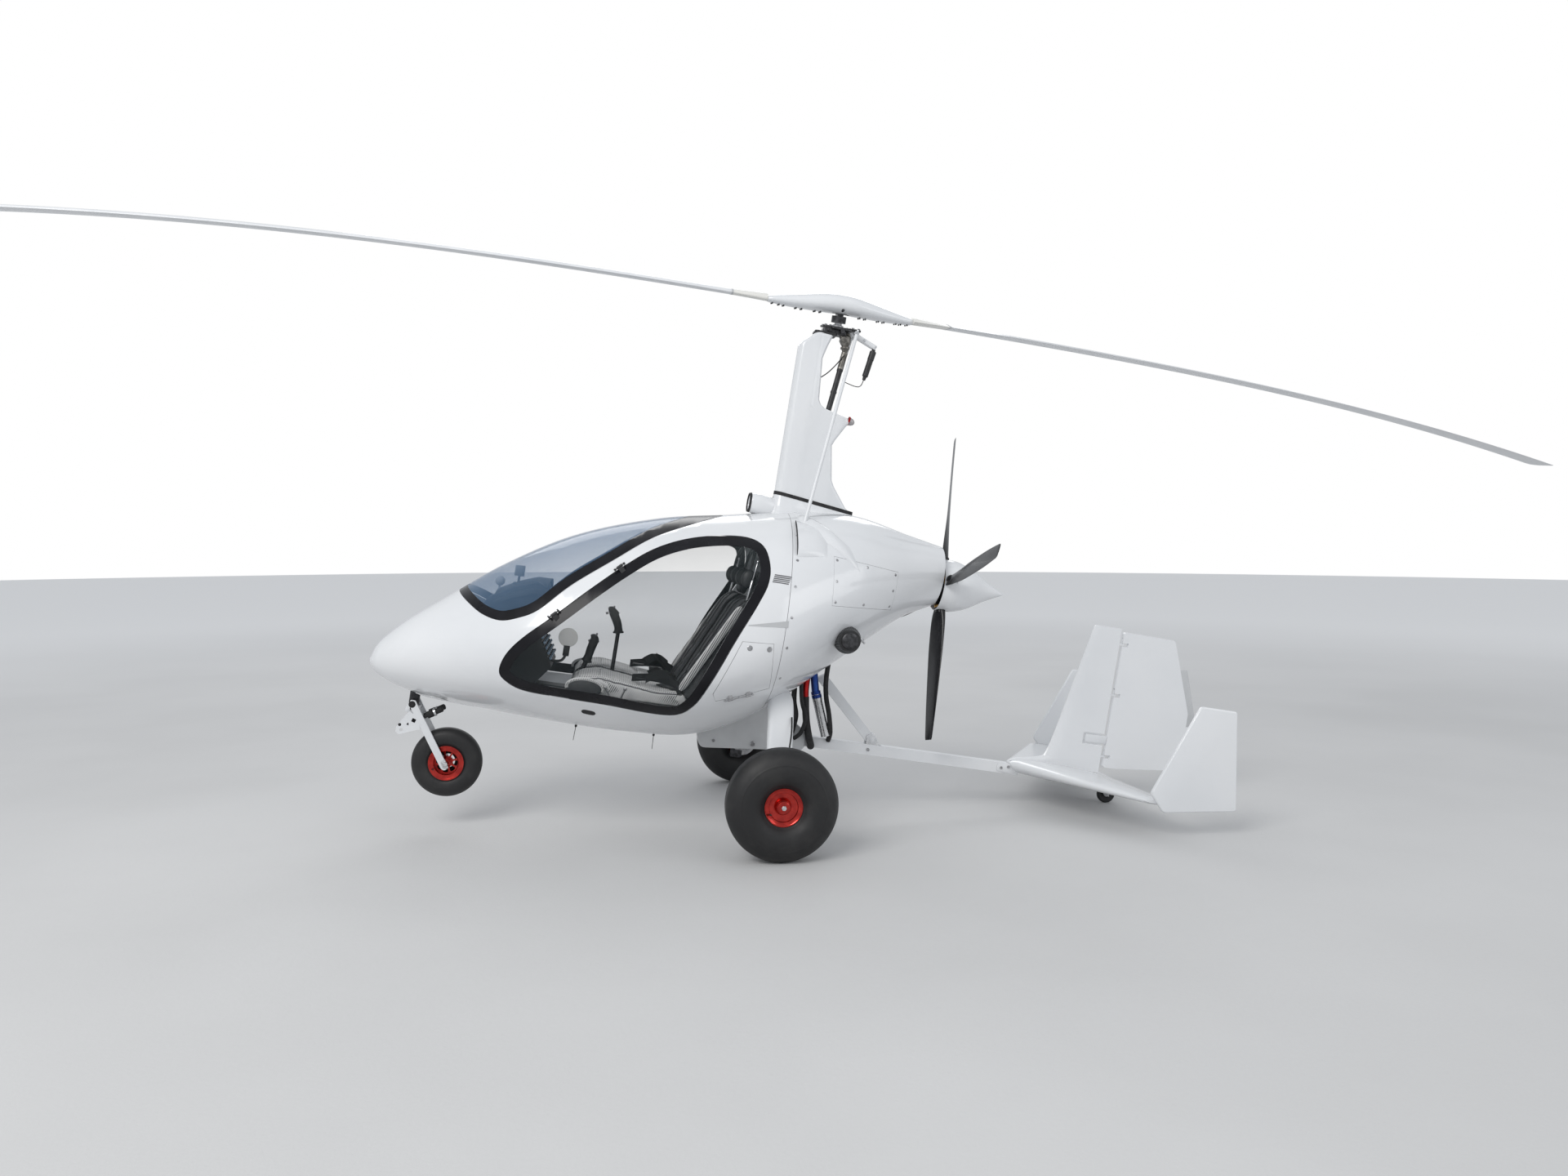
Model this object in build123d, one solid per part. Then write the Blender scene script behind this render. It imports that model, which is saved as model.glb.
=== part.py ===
from build123d import *
import math
import os

os.makedirs("parts", exist_ok=True)

# Driving dimensions, mm. Everything is drawn with the keel level and set down
# on its wheels at the end: +X forward, +Y port, +Z up.
PITCH = 9.2  # nose up when it stands on its tail wheel, degrees
AXLE_X = 440
AXLE_Z = 256
TRACK_HALF = 840
SHIFT_X = -33.26  # puts the middle between the rotor's two tips over the origin
WALL = 10
GAP = 6  # around the doors
RUN = 0.05  # radial clearance in a bearing or on a pin
SEAM_X = 510  # where the cabin shell meets the engine cowl
FLOOR_Z = 415

# Hull stations, nose to tail: x, bottom, top, half width, height of the widest line
HULL = [
    (2438, 516, 556, 24, 536),
    (2424, 495, 602, 62, 545),
    (2392, 471, 652, 112, 560),
    (2290, 429, 759, 205, 592),
    (2130, 396, 893, 300, 638),
    (1880, 379, 1098, 430, 705),
    (1550, 362, 1303, 555, 775),
    (1150, 360, 1453, 640, 820),
    (810, 396, 1527, 660, 860),
    (510, 550, 1590, 612, 985),
    (160, 845, 1629, 440, 1215),
    (-160, 1128, 1576, 245, 1345),
    (-340, 1230, 1545, 162, 1388),
]

# Outlines seen from the side, (x, z)
DOOR = [
    (1782, 626), (1762, 707), (1698, 796), (1568, 924), (1439, 1055), (1306, 1181),
    (1168, 1292), (1021, 1365), (866, 1407), (731, 1421), (653, 1391), (619, 1311),
    (620, 1226), (653, 1133), (743, 932), (822, 728), (876, 609), (940, 550),
    (1053, 536), (1284, 547), (1513, 547), (1665, 553), (1746, 583),
]
SCREEN = [
    (2064, 945), (1996, 908), (1910, 869), (1819, 856), (1735, 883), (1647, 936),
    (1517, 1071), (1348, 1211), (1174, 1349), (985, 1448), (836, 1516), (836, 1650),
    (2400, 1650), (2400, 945),
]
HATCH = [(706, 941), (557, 949), (530, 731), (780, 643), (799, 676)]
COWL_PANEL = [(301, 1399), (-60, 1373), (-60, 1180), (290, 1164)]


def section(x, low, high, wide, mid):
    """One hull section: four arcs that meet tangent, as a wire at x."""
    side = 0.8 * min(high - mid, mid - low, wide)
    core = wide - side
    caps = []
    for reach in (high - mid, mid - low):
        cap = (core**2 + reach**2 - side**2) / (2 * (reach - side))
        caps.append((cap, reach - cap, math.degrees(math.atan2(core, cap - reach))))
    (top_r, top_z, top_a), (base_r, base_z, base_a) = caps
    arcs = [
        CenterArc((0, mid + top_z), top_r, 90 - top_a, 2 * top_a),
        CenterArc((-core, mid), side, 90 + top_a, 180 - top_a - base_a),
        CenterArc((0, mid - base_z), base_r, 270 - base_a, 2 * base_a),
        CenterArc((core, mid), side, base_a - 90, 180 - top_a - base_a),
    ]
    return Wire([Pos(x, 0, 0) * (Plane.YZ * arc).edge() for arc in arcs])


def refined(rows):
    """The rows with one more between each pair, on a smooth curve through them."""
    out = [rows[0]]
    for k in range(1, len(rows)):
        a, b = rows[k - 1], rows[k]
        before = rows[k - 2] if k > 1 else a
        after = rows[k + 1] if k + 1 < len(rows) else b
        out.append(tuple((9 * (p + q) - o - r) / 16 for o, p, q, r in zip(before, a, b, after)))
        out.append(b)
    return out


def hull(inset=0, floor=0):
    """The hull's solid, its sections shrunk by inset and its bottom raised to floor."""
    wires = []
    for x, low, high, wide, mid in refined(HULL):
        low = max(low + inset, floor)
        wires.append(section(x, low, high - inset, wide - inset, mid))
    return Solid.make_loft(wires, True)


def slab(points, y0, y1, grow=0):
    """A side outline given as (x, z), extruded from y0 to y1."""
    face = make_face(Polyline(*points, close=True))
    if grow:
        face = offset(face, amount=grow, kind=Kind.INTERSECTION)
    return Pos(0, y1, 0) * Rot(90, 0, 0) * extrude(face, amount=y1 - y0, dir=(0, 0, 1))


def across(points, x0, x1):
    """A front outline given as (y, z), extruded from x0 to x1."""
    face = make_face(Polyline(*points, close=True))
    return Pos(x0, 0, 0) * (Plane.YZ * extrude(face, amount=x1 - x0, dir=(0, 0, 1)))


def plan(points, z0, z1):
    """A plan outline given as (x, y), extruded from z0 to z1."""
    face = make_face(Polyline(*points, close=True))
    return Pos(0, 0, z0) * extrude(face, amount=z1 - z0, dir=(0, 0, 1))


def rod(a, b, r):
    a = Vector(*a)
    b = Vector(*b)
    return Solid.make_cylinder(r, (b - a).length, Plane(origin=a, z_dir=b - a))


def block(x0, x1, y0, y1, z0, z1):
    return Pos((x0 + x1) / 2, (y0 + y1) / 2, (z0 + z1) / 2) * Box(x1 - x0, y1 - y0, z1 - z0)


def foil(nose, tail, half, end):
    """A symmetric section as (along, across) points: half its thickness, end that at the tail."""
    chord = tail - nose
    side = [
        (nose, 0.15 * half), (nose + 0.04 * chord, 0.55 * half), (nose + 0.18 * chord, 0.9 * half),
        (nose + 0.4 * chord, half), (tail, end)]
    return side + [(along, -across) for along, across in reversed(side)]


def turned_y(points, centre):
    """A profile given as (radius, y) turned about a line along Y."""
    return Pos(*centre) * revolve(make_face(Polyline(*points, close=True)), axis=Axis.Y)


def turned_x(points, centre):
    """A profile given as (x, radius) turned about a line along X."""
    return Pos(*centre) * revolve(make_face(Polyline(*points, close=True)), axis=Axis.X)


def mirrored(shape):
    return shape.mirror(Plane.XZ)


nodes = {}

# Hull: outer body, the cabin's hollow and the engine bay's hollow
outer = hull()
cabin_room = hull(WALL, FLOOR_Z) & block(SEAM_X - 20, 2370, -900, 900, 300, 1800)
bay_room = hull(8) & block(-332, SEAM_X + 20, -900, 900, 300, 1800)
front_half = block(SEAM_X + 1, 2500, -900, 900, 300, 1800)
rear_half = block(-400, SEAM_X - 1, -900, 900, 300, 1800)
front = outer & front_half
rear = outer & rear_half

intake = slab([(705, 1655), (690, 1540), (592, 1560), (592, 1655), (640, 1668)], -70, 70)
intake = intake - Pos(705, 0, 1618) * Rot(0, 72, 0) * Cylinder(33, 90)
cutters = [cabin_room, slab(SCREEN, -900, 900, 2)]
for side in (1, -1):
    cutters.append(slab(DOOR, min(side * 250, side * 900), max(side * 250, side * 900), GAP))
    cutters.append(slab(HATCH, min(side * 300, side * 900), max(side * 300, side * 900), 5))
cabin = front - cutters + (intake - cabin_room)

nodes["windshield"] = (front & slab(SCREEN, -900, 900)) - hull(4)
door = (front & slab(DOOR, 250, 900)) - [hull(14), slab(DOOR, 200, 900, -49.5)]
pane = (front & slab(DOOR, 250, 900, -50)) - hull(4)
hatch = (front & slab(HATCH, 300, 900)) - cabin_room


def hinge_frame(point, along, normal):
    """Local frame of a hinge: z runs along its pin and y points out of the skin."""
    z = Vector(*along).normalized()
    out = Vector(*normal)
    out = (out - z * out.dot(z)).normalized()
    return Plane(origin=point, x_dir=out.cross(z), z_dir=z)


def pin_rod(frame, z0, z1, r):
    """A rod on the hinge's axis, from z0 to z1 in its frame."""
    start = frame.from_local_coords(Vector(0, 0, z0))
    return rod(tuple(start), tuple(frame.from_local_coords(Vector(0, 0, z1))), r)


def strap(frame, a, b, z, wide, thick):
    """A flat bar from a to b, both (x, y) in the hinge's frame, its middle at z."""
    start = frame.from_local_coords(Vector(*a, z))
    end = frame.from_local_coords(Vector(*b, z))
    middle = Plane(origin=(start + end) * 0.5, x_dir=end - start, z_dir=frame.z_dir)
    return middle * Box((end - start).length, thick, wide)


def toward(frame, direction):
    """1 or -1: the side of the hinge's local x that the direction points to."""
    return 1 if frame.x_dir.dot(Vector(*direction)) > 0 else -1


# Door hinges: two along the roof strip, where the skin lies 14 mm under the pin
DOOR_AXIS = (262.8, 50.6, -261.4)
DOOR_PINS = [
    ((1574.8, 533.4, 930.3), (0.341, 0.888, 0.309)),
    ((1312.0, 482.8, 1191.7), (0.279, 0.739, 0.613)),
]
pins = []
for point, normal in DOOR_PINS:
    frame = hinge_frame(point, DOOR_AXIS, normal)
    inward = toward(frame, (-0.7, 0, -0.714))
    knuckle = pin_rod(frame, -15, 15, 7) + strap(frame, (0, 0), (inward * 25, -19), 0, 24, 8)
    door = door + (knuckle - pin_rod(frame, -20, 20, 3 + RUN))
    pins.append(pin_rod(frame, -30, 30, 3))
    for z in (-26, 26):
        pins.append(strap(frame, (inward * 3, 3.4), (inward * -16, -18), z, 7, 10))

# Hatch hinge along the bottom edge, its pin 10 mm off the skin
HATCH_PIN = (670.1, 575.7, 672.0)
HATCH_AXIS = (-0.926, -0.195, 0.324)
frame = hinge_frame(HATCH_PIN, HATCH_AXIS, (-0.35, 0.734, -0.582))
inward = toward(frame, (0.124, 0.652, 0.748))
for z in (-45, 45):
    knuckle = pin_rod(frame, z - 12, z + 12, 5) + strap(frame, (0, 0), (inward * 18, -14), z, 20, 5)
    hatch = hatch + (knuckle - pin_rod(frame, z - 20, z + 20, 2 + RUN))
pins.append(pin_rod(frame, -72, 72, 2))
for z in (-68, 0, 68):
    pins.append(strap(frame, (inward * 2, 2.6), (inward * -12, -15), z, 6, 7))
nodes["cabin_shell"] = cabin + pins + [mirrored(pin) for pin in pins]
nodes["door_left"] = door
nodes["door_right"] = mirrored(door)
nodes["door_glass_left"] = pane
nodes["door_glass_right"] = mirrored(pane)
nodes["hatch_left"] = hatch
nodes["hatch_right"] = mirrored(hatch)

# Engine cowl with its screwed side panels and the propeller shaft's hole
PROP_X, PROP_Z = -385, 1345
panel_zone = slab(COWL_PANEL, 150, 700)
panel_hole = slab(COWL_PANEL, 150, 700, 1)
nodes["engine_cowl"] = rear - [
    bay_room, panel_hole, mirrored(panel_hole), rod((-400, 0, PROP_Z), (-250, 0, PROP_Z), 48)]
panel = (rear & panel_zone) - bay_room
nodes["cowl_panel_left"] = panel
nodes["cowl_panel_right"] = mirrored(panel)
nodes["bulkhead"] = hull(WALL + 3, FLOOR_Z + 3) & block(SEAM_X + 3, SEAM_X + 11, -900, 900, 300, 1800)

# Engine: one plain block at its real place, with the gearbox nose that carries the propeller
engine = block(-60, 400, -185, 185, 1170, 1440) + rod((-60, 0, PROP_Z), (-300, 0, PROP_Z), 40)
nodes["engine_block"] = engine - rod((-320, 0, PROP_Z), (-180, 0, PROP_Z), 25 + RUN)

# Seats, structure below them, instrument pod and sticks, all inside a liner 3 mm off the skin
liner = hull(WALL + 3, FLOOR_Z + 2)
seat_box = block(870, 1420, -450, 450, 400, 560) - block(885, 1405, -435, 435, 380, 548)
nodes["seat_base"] = seat_box & liner
CUSHION = [(1440, 562), (1478, 585), (1445, 640), (1330, 664), (1050, 628), (900, 640), (870, 562)]
SEAT_BACK = [(960, 605), (860, 600), (640, 1090), (632, 1135), (668, 1150), (728, 1095)]
HEADREST = [(668, 1140), (632, 1120), (600, 1270), (640, 1275)]
seat = slab(CUSHION, 50, 435) + slab(SEAT_BACK, 60, 425) + slab(HEADREST, 150, 340)
seat = seat & liner
nodes["seat_left"] = seat
nodes["seat_right"] = mirrored(seat)

POD = [
    (1750, 400), (1560, 650), (1640, 800), (1640, 1030), (1680, 1050), (1790, 1010), (1905, 945),
    (1960, 820), (1950, 400),
]
POD_INSIDE = [
    (1764, 380), (1573, 650), (1651, 797), (1651, 1024), (1683, 1039), (1785, 1000), (1896, 938),
    (1949, 816), (1938, 380),
]
pod = slab(POD, -235, 235) - slab(POD_INSIDE, -225, 225)
nodes["instrument_pod"] = pod & liner
console = block(1425, 1640, -60, 60, 400, 540) & liner
stick = rod((1450, 24, 530), (1400, 24, 680), 12) + rod((1400, 24, 675), (1375, 24, 790), 18)
nodes["console"] = console + stick

# Mast: white fairing around the steel mast, with the strobe's housing on its shelf
MAST = [
    (588, 1540), (582, 1677), (580, 2455), (502, 2528), (412, 2528), (450, 2403),
    (432, 2184), (406, 2159), (264, 2124), (252, 2101), (328, 1976), (296, 1779), (200, 1660),
    (157, 1634), (157, 1540),
]
mast_nose = ThreePointArc((470, -52), (588, 0), (470, 52))
mast_sides = Polyline((470, 52), (150, 10), (150, -10), (470, -52))
mast_plan = Pos(0, 0, 1500) * extrude(make_face([mast_nose, mast_sides]), amount=1200, dir=(0, 0, 1))
fairing = (slab(MAST, -55, 55) & mast_plan) - outer
nodes["mast_fairing"] = fairing
nodes["strobe_light"] = rod((246, 0, 2112), (222, 0, 2106), 20) - fairing
shaft = rod((372, 0, 2130), (333, 0, 2459), 14) + rod((333, 0, 2440), (343, 0, 2525), 28)
nodes["prerotator_shaft"] = shaft - fairing

# Rotor head: gimbal block on the mast top, torque bar, trim cylinder, spindle
HUB_X, HUB_Z = 393, 2695
LEAN = 1.7
ROLL = -9
SPINDLE_R = 20
PIN_R = 8
PIN_Z = -30
head = block(400, 480, -30, 30, 2530, 2565) + block(290, 445, -75, 75, 2560, 2589)
spindle = Pos(0, 0, -125) * Cylinder(SPINDLE_R, 61, align=(Align.CENTER, Align.CENTER, Align.MIN))
torque_bar = rod((360, 0, 2575), (178, 0, 2509), 12)
trim_tube = rod((185, 0, 2500), (212, 0, 2340), 17)
spindle = Pos(HUB_X, 0, HUB_Z) * spindle.rotate(Axis.Y, LEAN).rotate(Axis.X, ROLL)
head = head + spindle + torque_bar + trim_tube
nodes["rotor_head"] = head
push_rod = rod((300, 66, 2545), (450, 265, 1500), 9) - outer
nodes["control_rod_left"] = push_rod
nodes["control_rod_right"] = mirrored(push_rod)

# Rotor, drawn level at the origin along X, then leaned onto the spindle
ROTOR_R = 4265
CHORD = 220
tower = Pos(0, 0, -92) * Cylinder(38, 34, align=(Align.CENTER, Align.CENTER, Align.MIN))
tower = tower - Pos(0, 0, -93) * Cylinder(SPINDLE_R + RUN, 31, align=(Align.CENTER, Align.CENTER, Align.MIN))
tower = tower + block(-16, 16, -28, 28, -60, -16) + rod((0, -60, PIN_Z), (0, 60, PIN_Z), PIN_R)


def lens(x, wide, tall, z):
    """A pointed oval across the hub bar at x, made of two arcs."""
    return Wire([
        ThreePointArc((x, -wide, z), (x, 0, z + tall), (x, wide, z)),
        ThreePointArc((x, wide, z), (x, 0, z - tall), (x, -wide, z))])


BAR = [
    (-385, 36, 17, -28), (-250, 66, 33, -18), (-90, 94, 48, -2), (0, 98, 50, 2),
    (90, 94, 48, -2), (250, 66, 33, -18), (385, 36, 17, -28),
]
hub_bar = Solid.make_loft([lens(*row) for row in BAR], True)
hub_bar = hub_bar - block(-45, 45, -34, 34, -80, -4) - rod((0, -110, PIN_Z), (0, 110, PIN_Z), PIN_R + RUN)


def blade_section(x, wide, tall):
    """A rotor blade section at x: flat bottom, arched top, nose toward +Y, drooping outward."""
    z = -26 - 187 * (x / 4100) ** 3
    nose = 0.25 * wide
    tail = -0.75 * wide
    low = Polyline((x, tail, z), (x, tail, z - 2), (x, nose - 14, z - 0.4 * tall), (x, nose, z))
    top = ThreePointArc((x, nose, z), (x, 0, z + 0.6 * tall), (x, tail, z))
    return Wire([*low.edges(), top])


BLADE = [
    (386, 90, 38), (560, 150, 28), (900, CHORD, 26), (1700, CHORD, 26), (2900, CHORD, 26),
    (ROTOR_R, CHORD, 26),
]
blade = Solid.make_loft([blade_section(*row) for row in BLADE], True)
SWING = 1.9


def on_rotor(shape):
    turned = shape.rotate(Axis.Z, SWING).rotate(Axis.Y, LEAN).rotate(Axis.X, ROLL)
    return Pos(HUB_X, 0, HUB_Z) * turned


nodes["rotor_tower"] = on_rotor(tower)
nodes["rotor_hub_bar"] = on_rotor(hub_bar)
nodes["rotor_blade_front"] = on_rotor(blade)
nodes["rotor_blade_rear"] = on_rotor(blade.rotate(Axis.Z, 180))

# Propeller: hub and shaft, four square-tipped blades, spinner
PROP_R = 824
PROP_ANGLES = (75.6, 165.6, 255.6, 345.6)
PROP_BLADE = [
    (70, 60, 44, 48), (180, 92, 26, 56), (420, 112, 14, 70), (650, 98, 10, 76), (PROP_R, 72, 7, 79),
]


def prop_section(r, chord, thick, twist):
    """A propeller blade section at radius r along Z, twisted."""
    a = math.radians(twist)
    corners = [(-0.5, 0), (0, 0.5), (0.5, 0), (0, -0.5)]
    out = []
    for u, v in corners:
        p, q = u * chord, v * thick
        out.append((p * math.cos(a) - q * math.sin(a), p * math.sin(a) + q * math.cos(a), r))
    return Wire([ThreePointArc(out[0], out[1], out[2]), ThreePointArc(out[2], out[3], out[0])])


prop = rod((PROP_X - 35, 0, PROP_Z), (PROP_X + 40, 0, PROP_Z), 95)
prop = prop + rod((PROP_X, 0, PROP_Z), (-190, 0, PROP_Z), 25)
prop_blade = Solid.make_loft([prop_section(*row) for row in PROP_BLADE])
SPINNER = [(-36, 0), (-36, 138), (-70, 133), (-140, 108), (-230, 54), (-343, 4), (-343, 0)]
spinner = turned_x(SPINNER, (PROP_X, 0, PROP_Z))
for angle in PROP_ANGLES:
    prop = prop + Pos(PROP_X, 0, PROP_Z) * prop_blade.rotate(Axis.X, -angle)
    root_hole = (Pos(0, 0, 100) * Cylinder(34, 120)).rotate(Axis.X, -angle)
    spinner = spinner - Pos(PROP_X, 0, PROP_Z) * root_hole
nodes["propeller"] = prop
nodes["spinner"] = spinner

# Keel tube, strut, fairing and the pipe behind the cabin
nodes["keel_boom"] = block(-935, 600, -28, 28, 400, 455) - block(-936, 601, -24, 24, 404, 451)
nodes["boom_strut"] = slab([(210, 760), (165, 790), (-190, 456), (-120, 456)], -20, 20) - outer
nodes["belly_pipe"] = rod((215, 60, 700), (122, 60, 470), 22) - outer
keel_fairing = slab([(790, 420), (765, 325), (225, 380), (215, 470), (560, 560)], -60, 60)
nodes["keel_fairing"] = keel_fairing - [block(-900, 602, -29, 29, 399, 560), outer]

# Main gear: a sprung leg on each side into the hull's flank, with a stub axle and a brake disc
LEG = [
    (225, 700), (330, 720), (470, 585), (650, 340), (712, 300), (712, 212), (672, 222), (430, 500),
    (300, 610),
]
leg = across(LEG, 375, 500) - outer
nodes["main_leg_left"] = leg
nodes["main_leg_right"] = mirrored(leg)
RIM = [
    (16 + RUN, -62), (34, -62), (34, 38), (64, 46), (64, -66), (87, -66), (87, -62), (76, -58),
    (76, 58), (87, 62), (87, 66), (64, 66), (64, 54), (34, 46), (34, 58), (16 + RUN, 58),
]
RIM_WINDOW = [(37, -9), (57, -17), (61, 0), (57, 17), (37, 9)]
TYRE_SIDE = [(AXLE_Z, 22), (244, 55), (215, 83), (172, 97), (130, 92), (104, 76), (90, 62), (76.3, 57)]


def both_walls(side):
    """A tyre's closed profile from one side of it, as (radius, y) points."""
    return side + [(r, -y) for r, y in reversed(side)]


def wheel_windows(outline, count, y0, y1):
    """Equal windows around a wheel's axis, from an outline of (radial, tangential) points."""
    one = slab(outline, y0, y1)
    return [one.rotate(Axis.Y, 360 / count * k) for k in range(count)]


rim = turned_y(RIM, (0, 0, 0)) - wheel_windows(RIM_WINDOW, 8, 30, 70)
for side, sign in (("left", 1), ("right", -1)):
    axle = rod((AXLE_X, sign * 712, AXLE_Z), (AXLE_X, sign * 905, AXLE_Z), 16)
    flange = rod((AXLE_X, sign * 712, AXLE_Z), (AXLE_X, sign * 728, AXLE_Z), 40)
    disc = rod((AXLE_X, sign * 726, AXLE_Z), (AXLE_X, sign * 732, AXLE_Z), 78)
    wheel_place = Pos(AXLE_X, sign * TRACK_HALF, AXLE_Z)
    nodes["axle_" + side] = axle + flange + disc
    nodes["main_rim_" + side] = wheel_place * Rot(0, 0, 0 if sign > 0 else 180) * rim
    nodes["main_tyre_" + side] = wheel_place * turned_y(both_walls(TYRE_SIDE), (0, 0, 0))

# Nose gear: bracket, steered trailing fork, wheel
NOSE_X, NOSE_Z = 2003, 79
STEER_X = 2205
FORK_LEG = [(2205, 330), (2172, 338), (1978, 60), (2006, 42), (2028, 62)]
TOW_PLATE = [(2218, 312), (2264, 222), (2245, 196), (2140, 262), (2160, 330)]
NOSE_RIM = [
    (9 + RUN, -48), (22, -48), (22, -6), (58, -6), (58, -44), (87, -44), (87, -40), (66, -36), (66, 36),
    (87, 40), (87, 44), (58, 44), (58, 6), (22, 6), (22, 48), (9 + RUN, 48),
]
NOSE_WINDOW = [(27, -6), (50, -15), (54, 0), (50, 15), (27, 6)]
NOSE_TYRE_SIDE = [(172, 14), (165, 30), (148, 45), (124, 50), (98, 46), (87.5, 38.5), (66.3, 35)]
bracket = block(STEER_X - 26, STEER_X + 26, -26, 26, 345, 480) - outer
nodes["nose_bracket"] = bracket - rod((STEER_X, 0, 320), (STEER_X, 0, 396), 15 + RUN)
fork = rod((STEER_X, 0, 300), (STEER_X, 0, 390), 15)
fork = fork + block(STEER_X - 45, STEER_X + 30, -66, 66, 300, 338)
fork = fork + slab(FORK_LEG, 56, 66) + slab(FORK_LEG, -66, -56)
fork = fork + slab(TOW_PLATE, 60, 66) + slab(TOW_PLATE, -66, -60)
fork = fork - rod((2236, -80, 222), (2236, 80, 222), 8)
nodes["nose_fork"] = fork + rod((NOSE_X, -70, NOSE_Z), (NOSE_X, 70, NOSE_Z), 9)
nose_rim = turned_y(NOSE_RIM, (0, 0, 0)) - wheel_windows(NOSE_WINDOW, 8, -20, 20)
nodes["nose_rim"] = Pos(NOSE_X, 0, NOSE_Z) * nose_rim
nodes["nose_tyre"] = turned_y(both_walls(NOSE_TYRE_SIDE), (NOSE_X, 0, NOSE_Z))

# Tail: tailplane on the boom's end, centre fin, rudder, end fins, tail wheel
PLANE_TOP = 488
PLANE_SPAN = [(-758, -1325, 24), (-30, -905, 88), (30, -905, 88), (758, -1325, 24)]  # y, nose x, depth
PLANE_TAIL_X = -1500
# Share of the chord, then the upper and the lower face as shares of the depth below the top
PLANE_SECTION = [(0, 0.42, 0.6), (0.05, 0.12, 0.9), (0.22, 0, 1), (0.6, 0, 0.75), (1, 0.12, 0.28)]
wires = []
for y, nose, depth in PLANE_SPAN:
    chord = PLANE_TAIL_X - nose
    upper = [(nose + s * chord, y, PLANE_TOP - high * depth) for s, high, low in PLANE_SECTION]
    lower = [(nose + s * chord, y, PLANE_TOP - low * depth) for s, high, low in PLANE_SECTION]
    wires.append(Wire.make_polygon(upper + lower[::-1]))
tailplane = Solid.make_loft(wires, True)
nodes["tailplane"] = tailplane - block(-936, -880, -29, 29, 390, 456)

HINGE_X = -1440
HINGE_HEIGHTS = (560, 900, 1180)
FIN_SPAN = [(470, -910, 20), (491, -960, 20), (530, -1098, 18), (1262, -1266, 13)]  # z, nose x, half thickness
RUDDER = [
    (HINGE_X, 1250), (-1743, 1247), (-1884, 870), (-1932, 715), (-1925, 620), (-1804, 530),
    (-1520, 502), (HINGE_X, 502),
]
TRIM_TAB = [(-1740, 1000), (-1780, 1085), (-1843, 1098), (-1953, 787), (-1860, 780)]
RUDDER_TAPER = [(HINGE_X + 12, -12), (HINGE_X + 12, 12), (-1960, 3), (-1960, -3)]
wires = []
for z, nose, half in FIN_SPAN:
    wires.append(Wire.make_polygon([(x, y, z) for x, y in foil(nose, -1421, half, 11)]))
fin = Solid.make_loft(wires, True) - block(-1430, -1300, -40, 40, 618, 682)
fin = fin - tailplane
rudder = slab(RUDDER, -12, 12) + rod((HINGE_X, 0, 502), (HINGE_X, 0, 1250), 12)
rudder = rudder + block(HINGE_X, -1315, -10, 10, 628, 672) + slab(TRIM_TAB, -12, 12)
rudder = rudder & (plan(RUDDER_TAPER, 490, 1260) + block(HINGE_X - 1, -1300, -12, 12, 490, 1260))
for z in HINGE_HEIGHTS:
    rudder = rudder - block(-1475, -1400, -30, 30, z - 10, z + 10)
    rudder = rudder - rod((HINGE_X, 0, z), (HINGE_X, 0, z + 36), 5 + RUN)
    fin = fin + block(-1450, -1410, -9, 9, z - 4, z + 4) + rod((HINGE_X, 0, z), (HINGE_X, 0, z + 32), 5)
nodes["centre_fin"] = fin
nodes["rudder"] = rudder
end_fin = slab([(-1520, 965), (-1709, 965), (-1788, 485), (-1416, 432), (-1337, 517)], 759, 781)
end_fin = chamfer(end_fin.faces().sort_by(Axis.Y)[-1].edges(), 6)
nodes["end_fin_left"] = end_fin
nodes["end_fin_right"] = mirrored(end_fin)
TAIL_X = -1490
TAIL_R = 50
TAIL_TYRE_SIDE = [(TAIL_R, 6), (43, 13), (30, 12), (5 + RUN, 12)]

# Set down: nose up about the main axle, so the tail wheel's axle stands at its radius
down = math.radians(PITCH)
lift = math.sin(down) * (TAIL_X - AXLE_X)
TAIL_Z = AXLE_Z + (TAIL_R - AXLE_Z - lift) / math.cos(down)
fork_tail = block(-1470, -1410, -20, 20, 440, 470) - tailplane
TAIL_FORK = [(-1410, 448), (-1470, 448), (TAIL_X - 12, TAIL_Z - 12), (TAIL_X + 16, TAIL_Z - 10)]
fork_tail = fork_tail + slab(TAIL_FORK, 19, 24) + slab(TAIL_FORK, -24, -19)
fork_tail = fork_tail + rod((TAIL_X, -26, TAIL_Z), (TAIL_X, 26, TAIL_Z), 5)
nodes["tail_fork"] = fork_tail
nodes["tail_wheel"] = turned_y(both_walls(TAIL_TYRE_SIDE), (TAIL_X, 0, TAIL_Z))

FILTER = [(0, 300), (60, 300), (75, 330), (58, 440), (0, 446)]
nodes["air_filter"] = turned_y(FILTER, (150, 0, 1006)) - outer

for name, shape in nodes.items():
    part = shape.rotate(Axis((AXLE_X, 0, AXLE_Z), (0, 1, 0)), -PITCH)
    export_step(Pos(SHIFT_X, 0, 0) * part, "parts/" + name + ".step")
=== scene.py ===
import bmesh
import bpy
import math
from mathutils import Matrix, Vector
from mathutils.bvhtree import BVHTree
from mathutils.kdtree import KDTree


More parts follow.
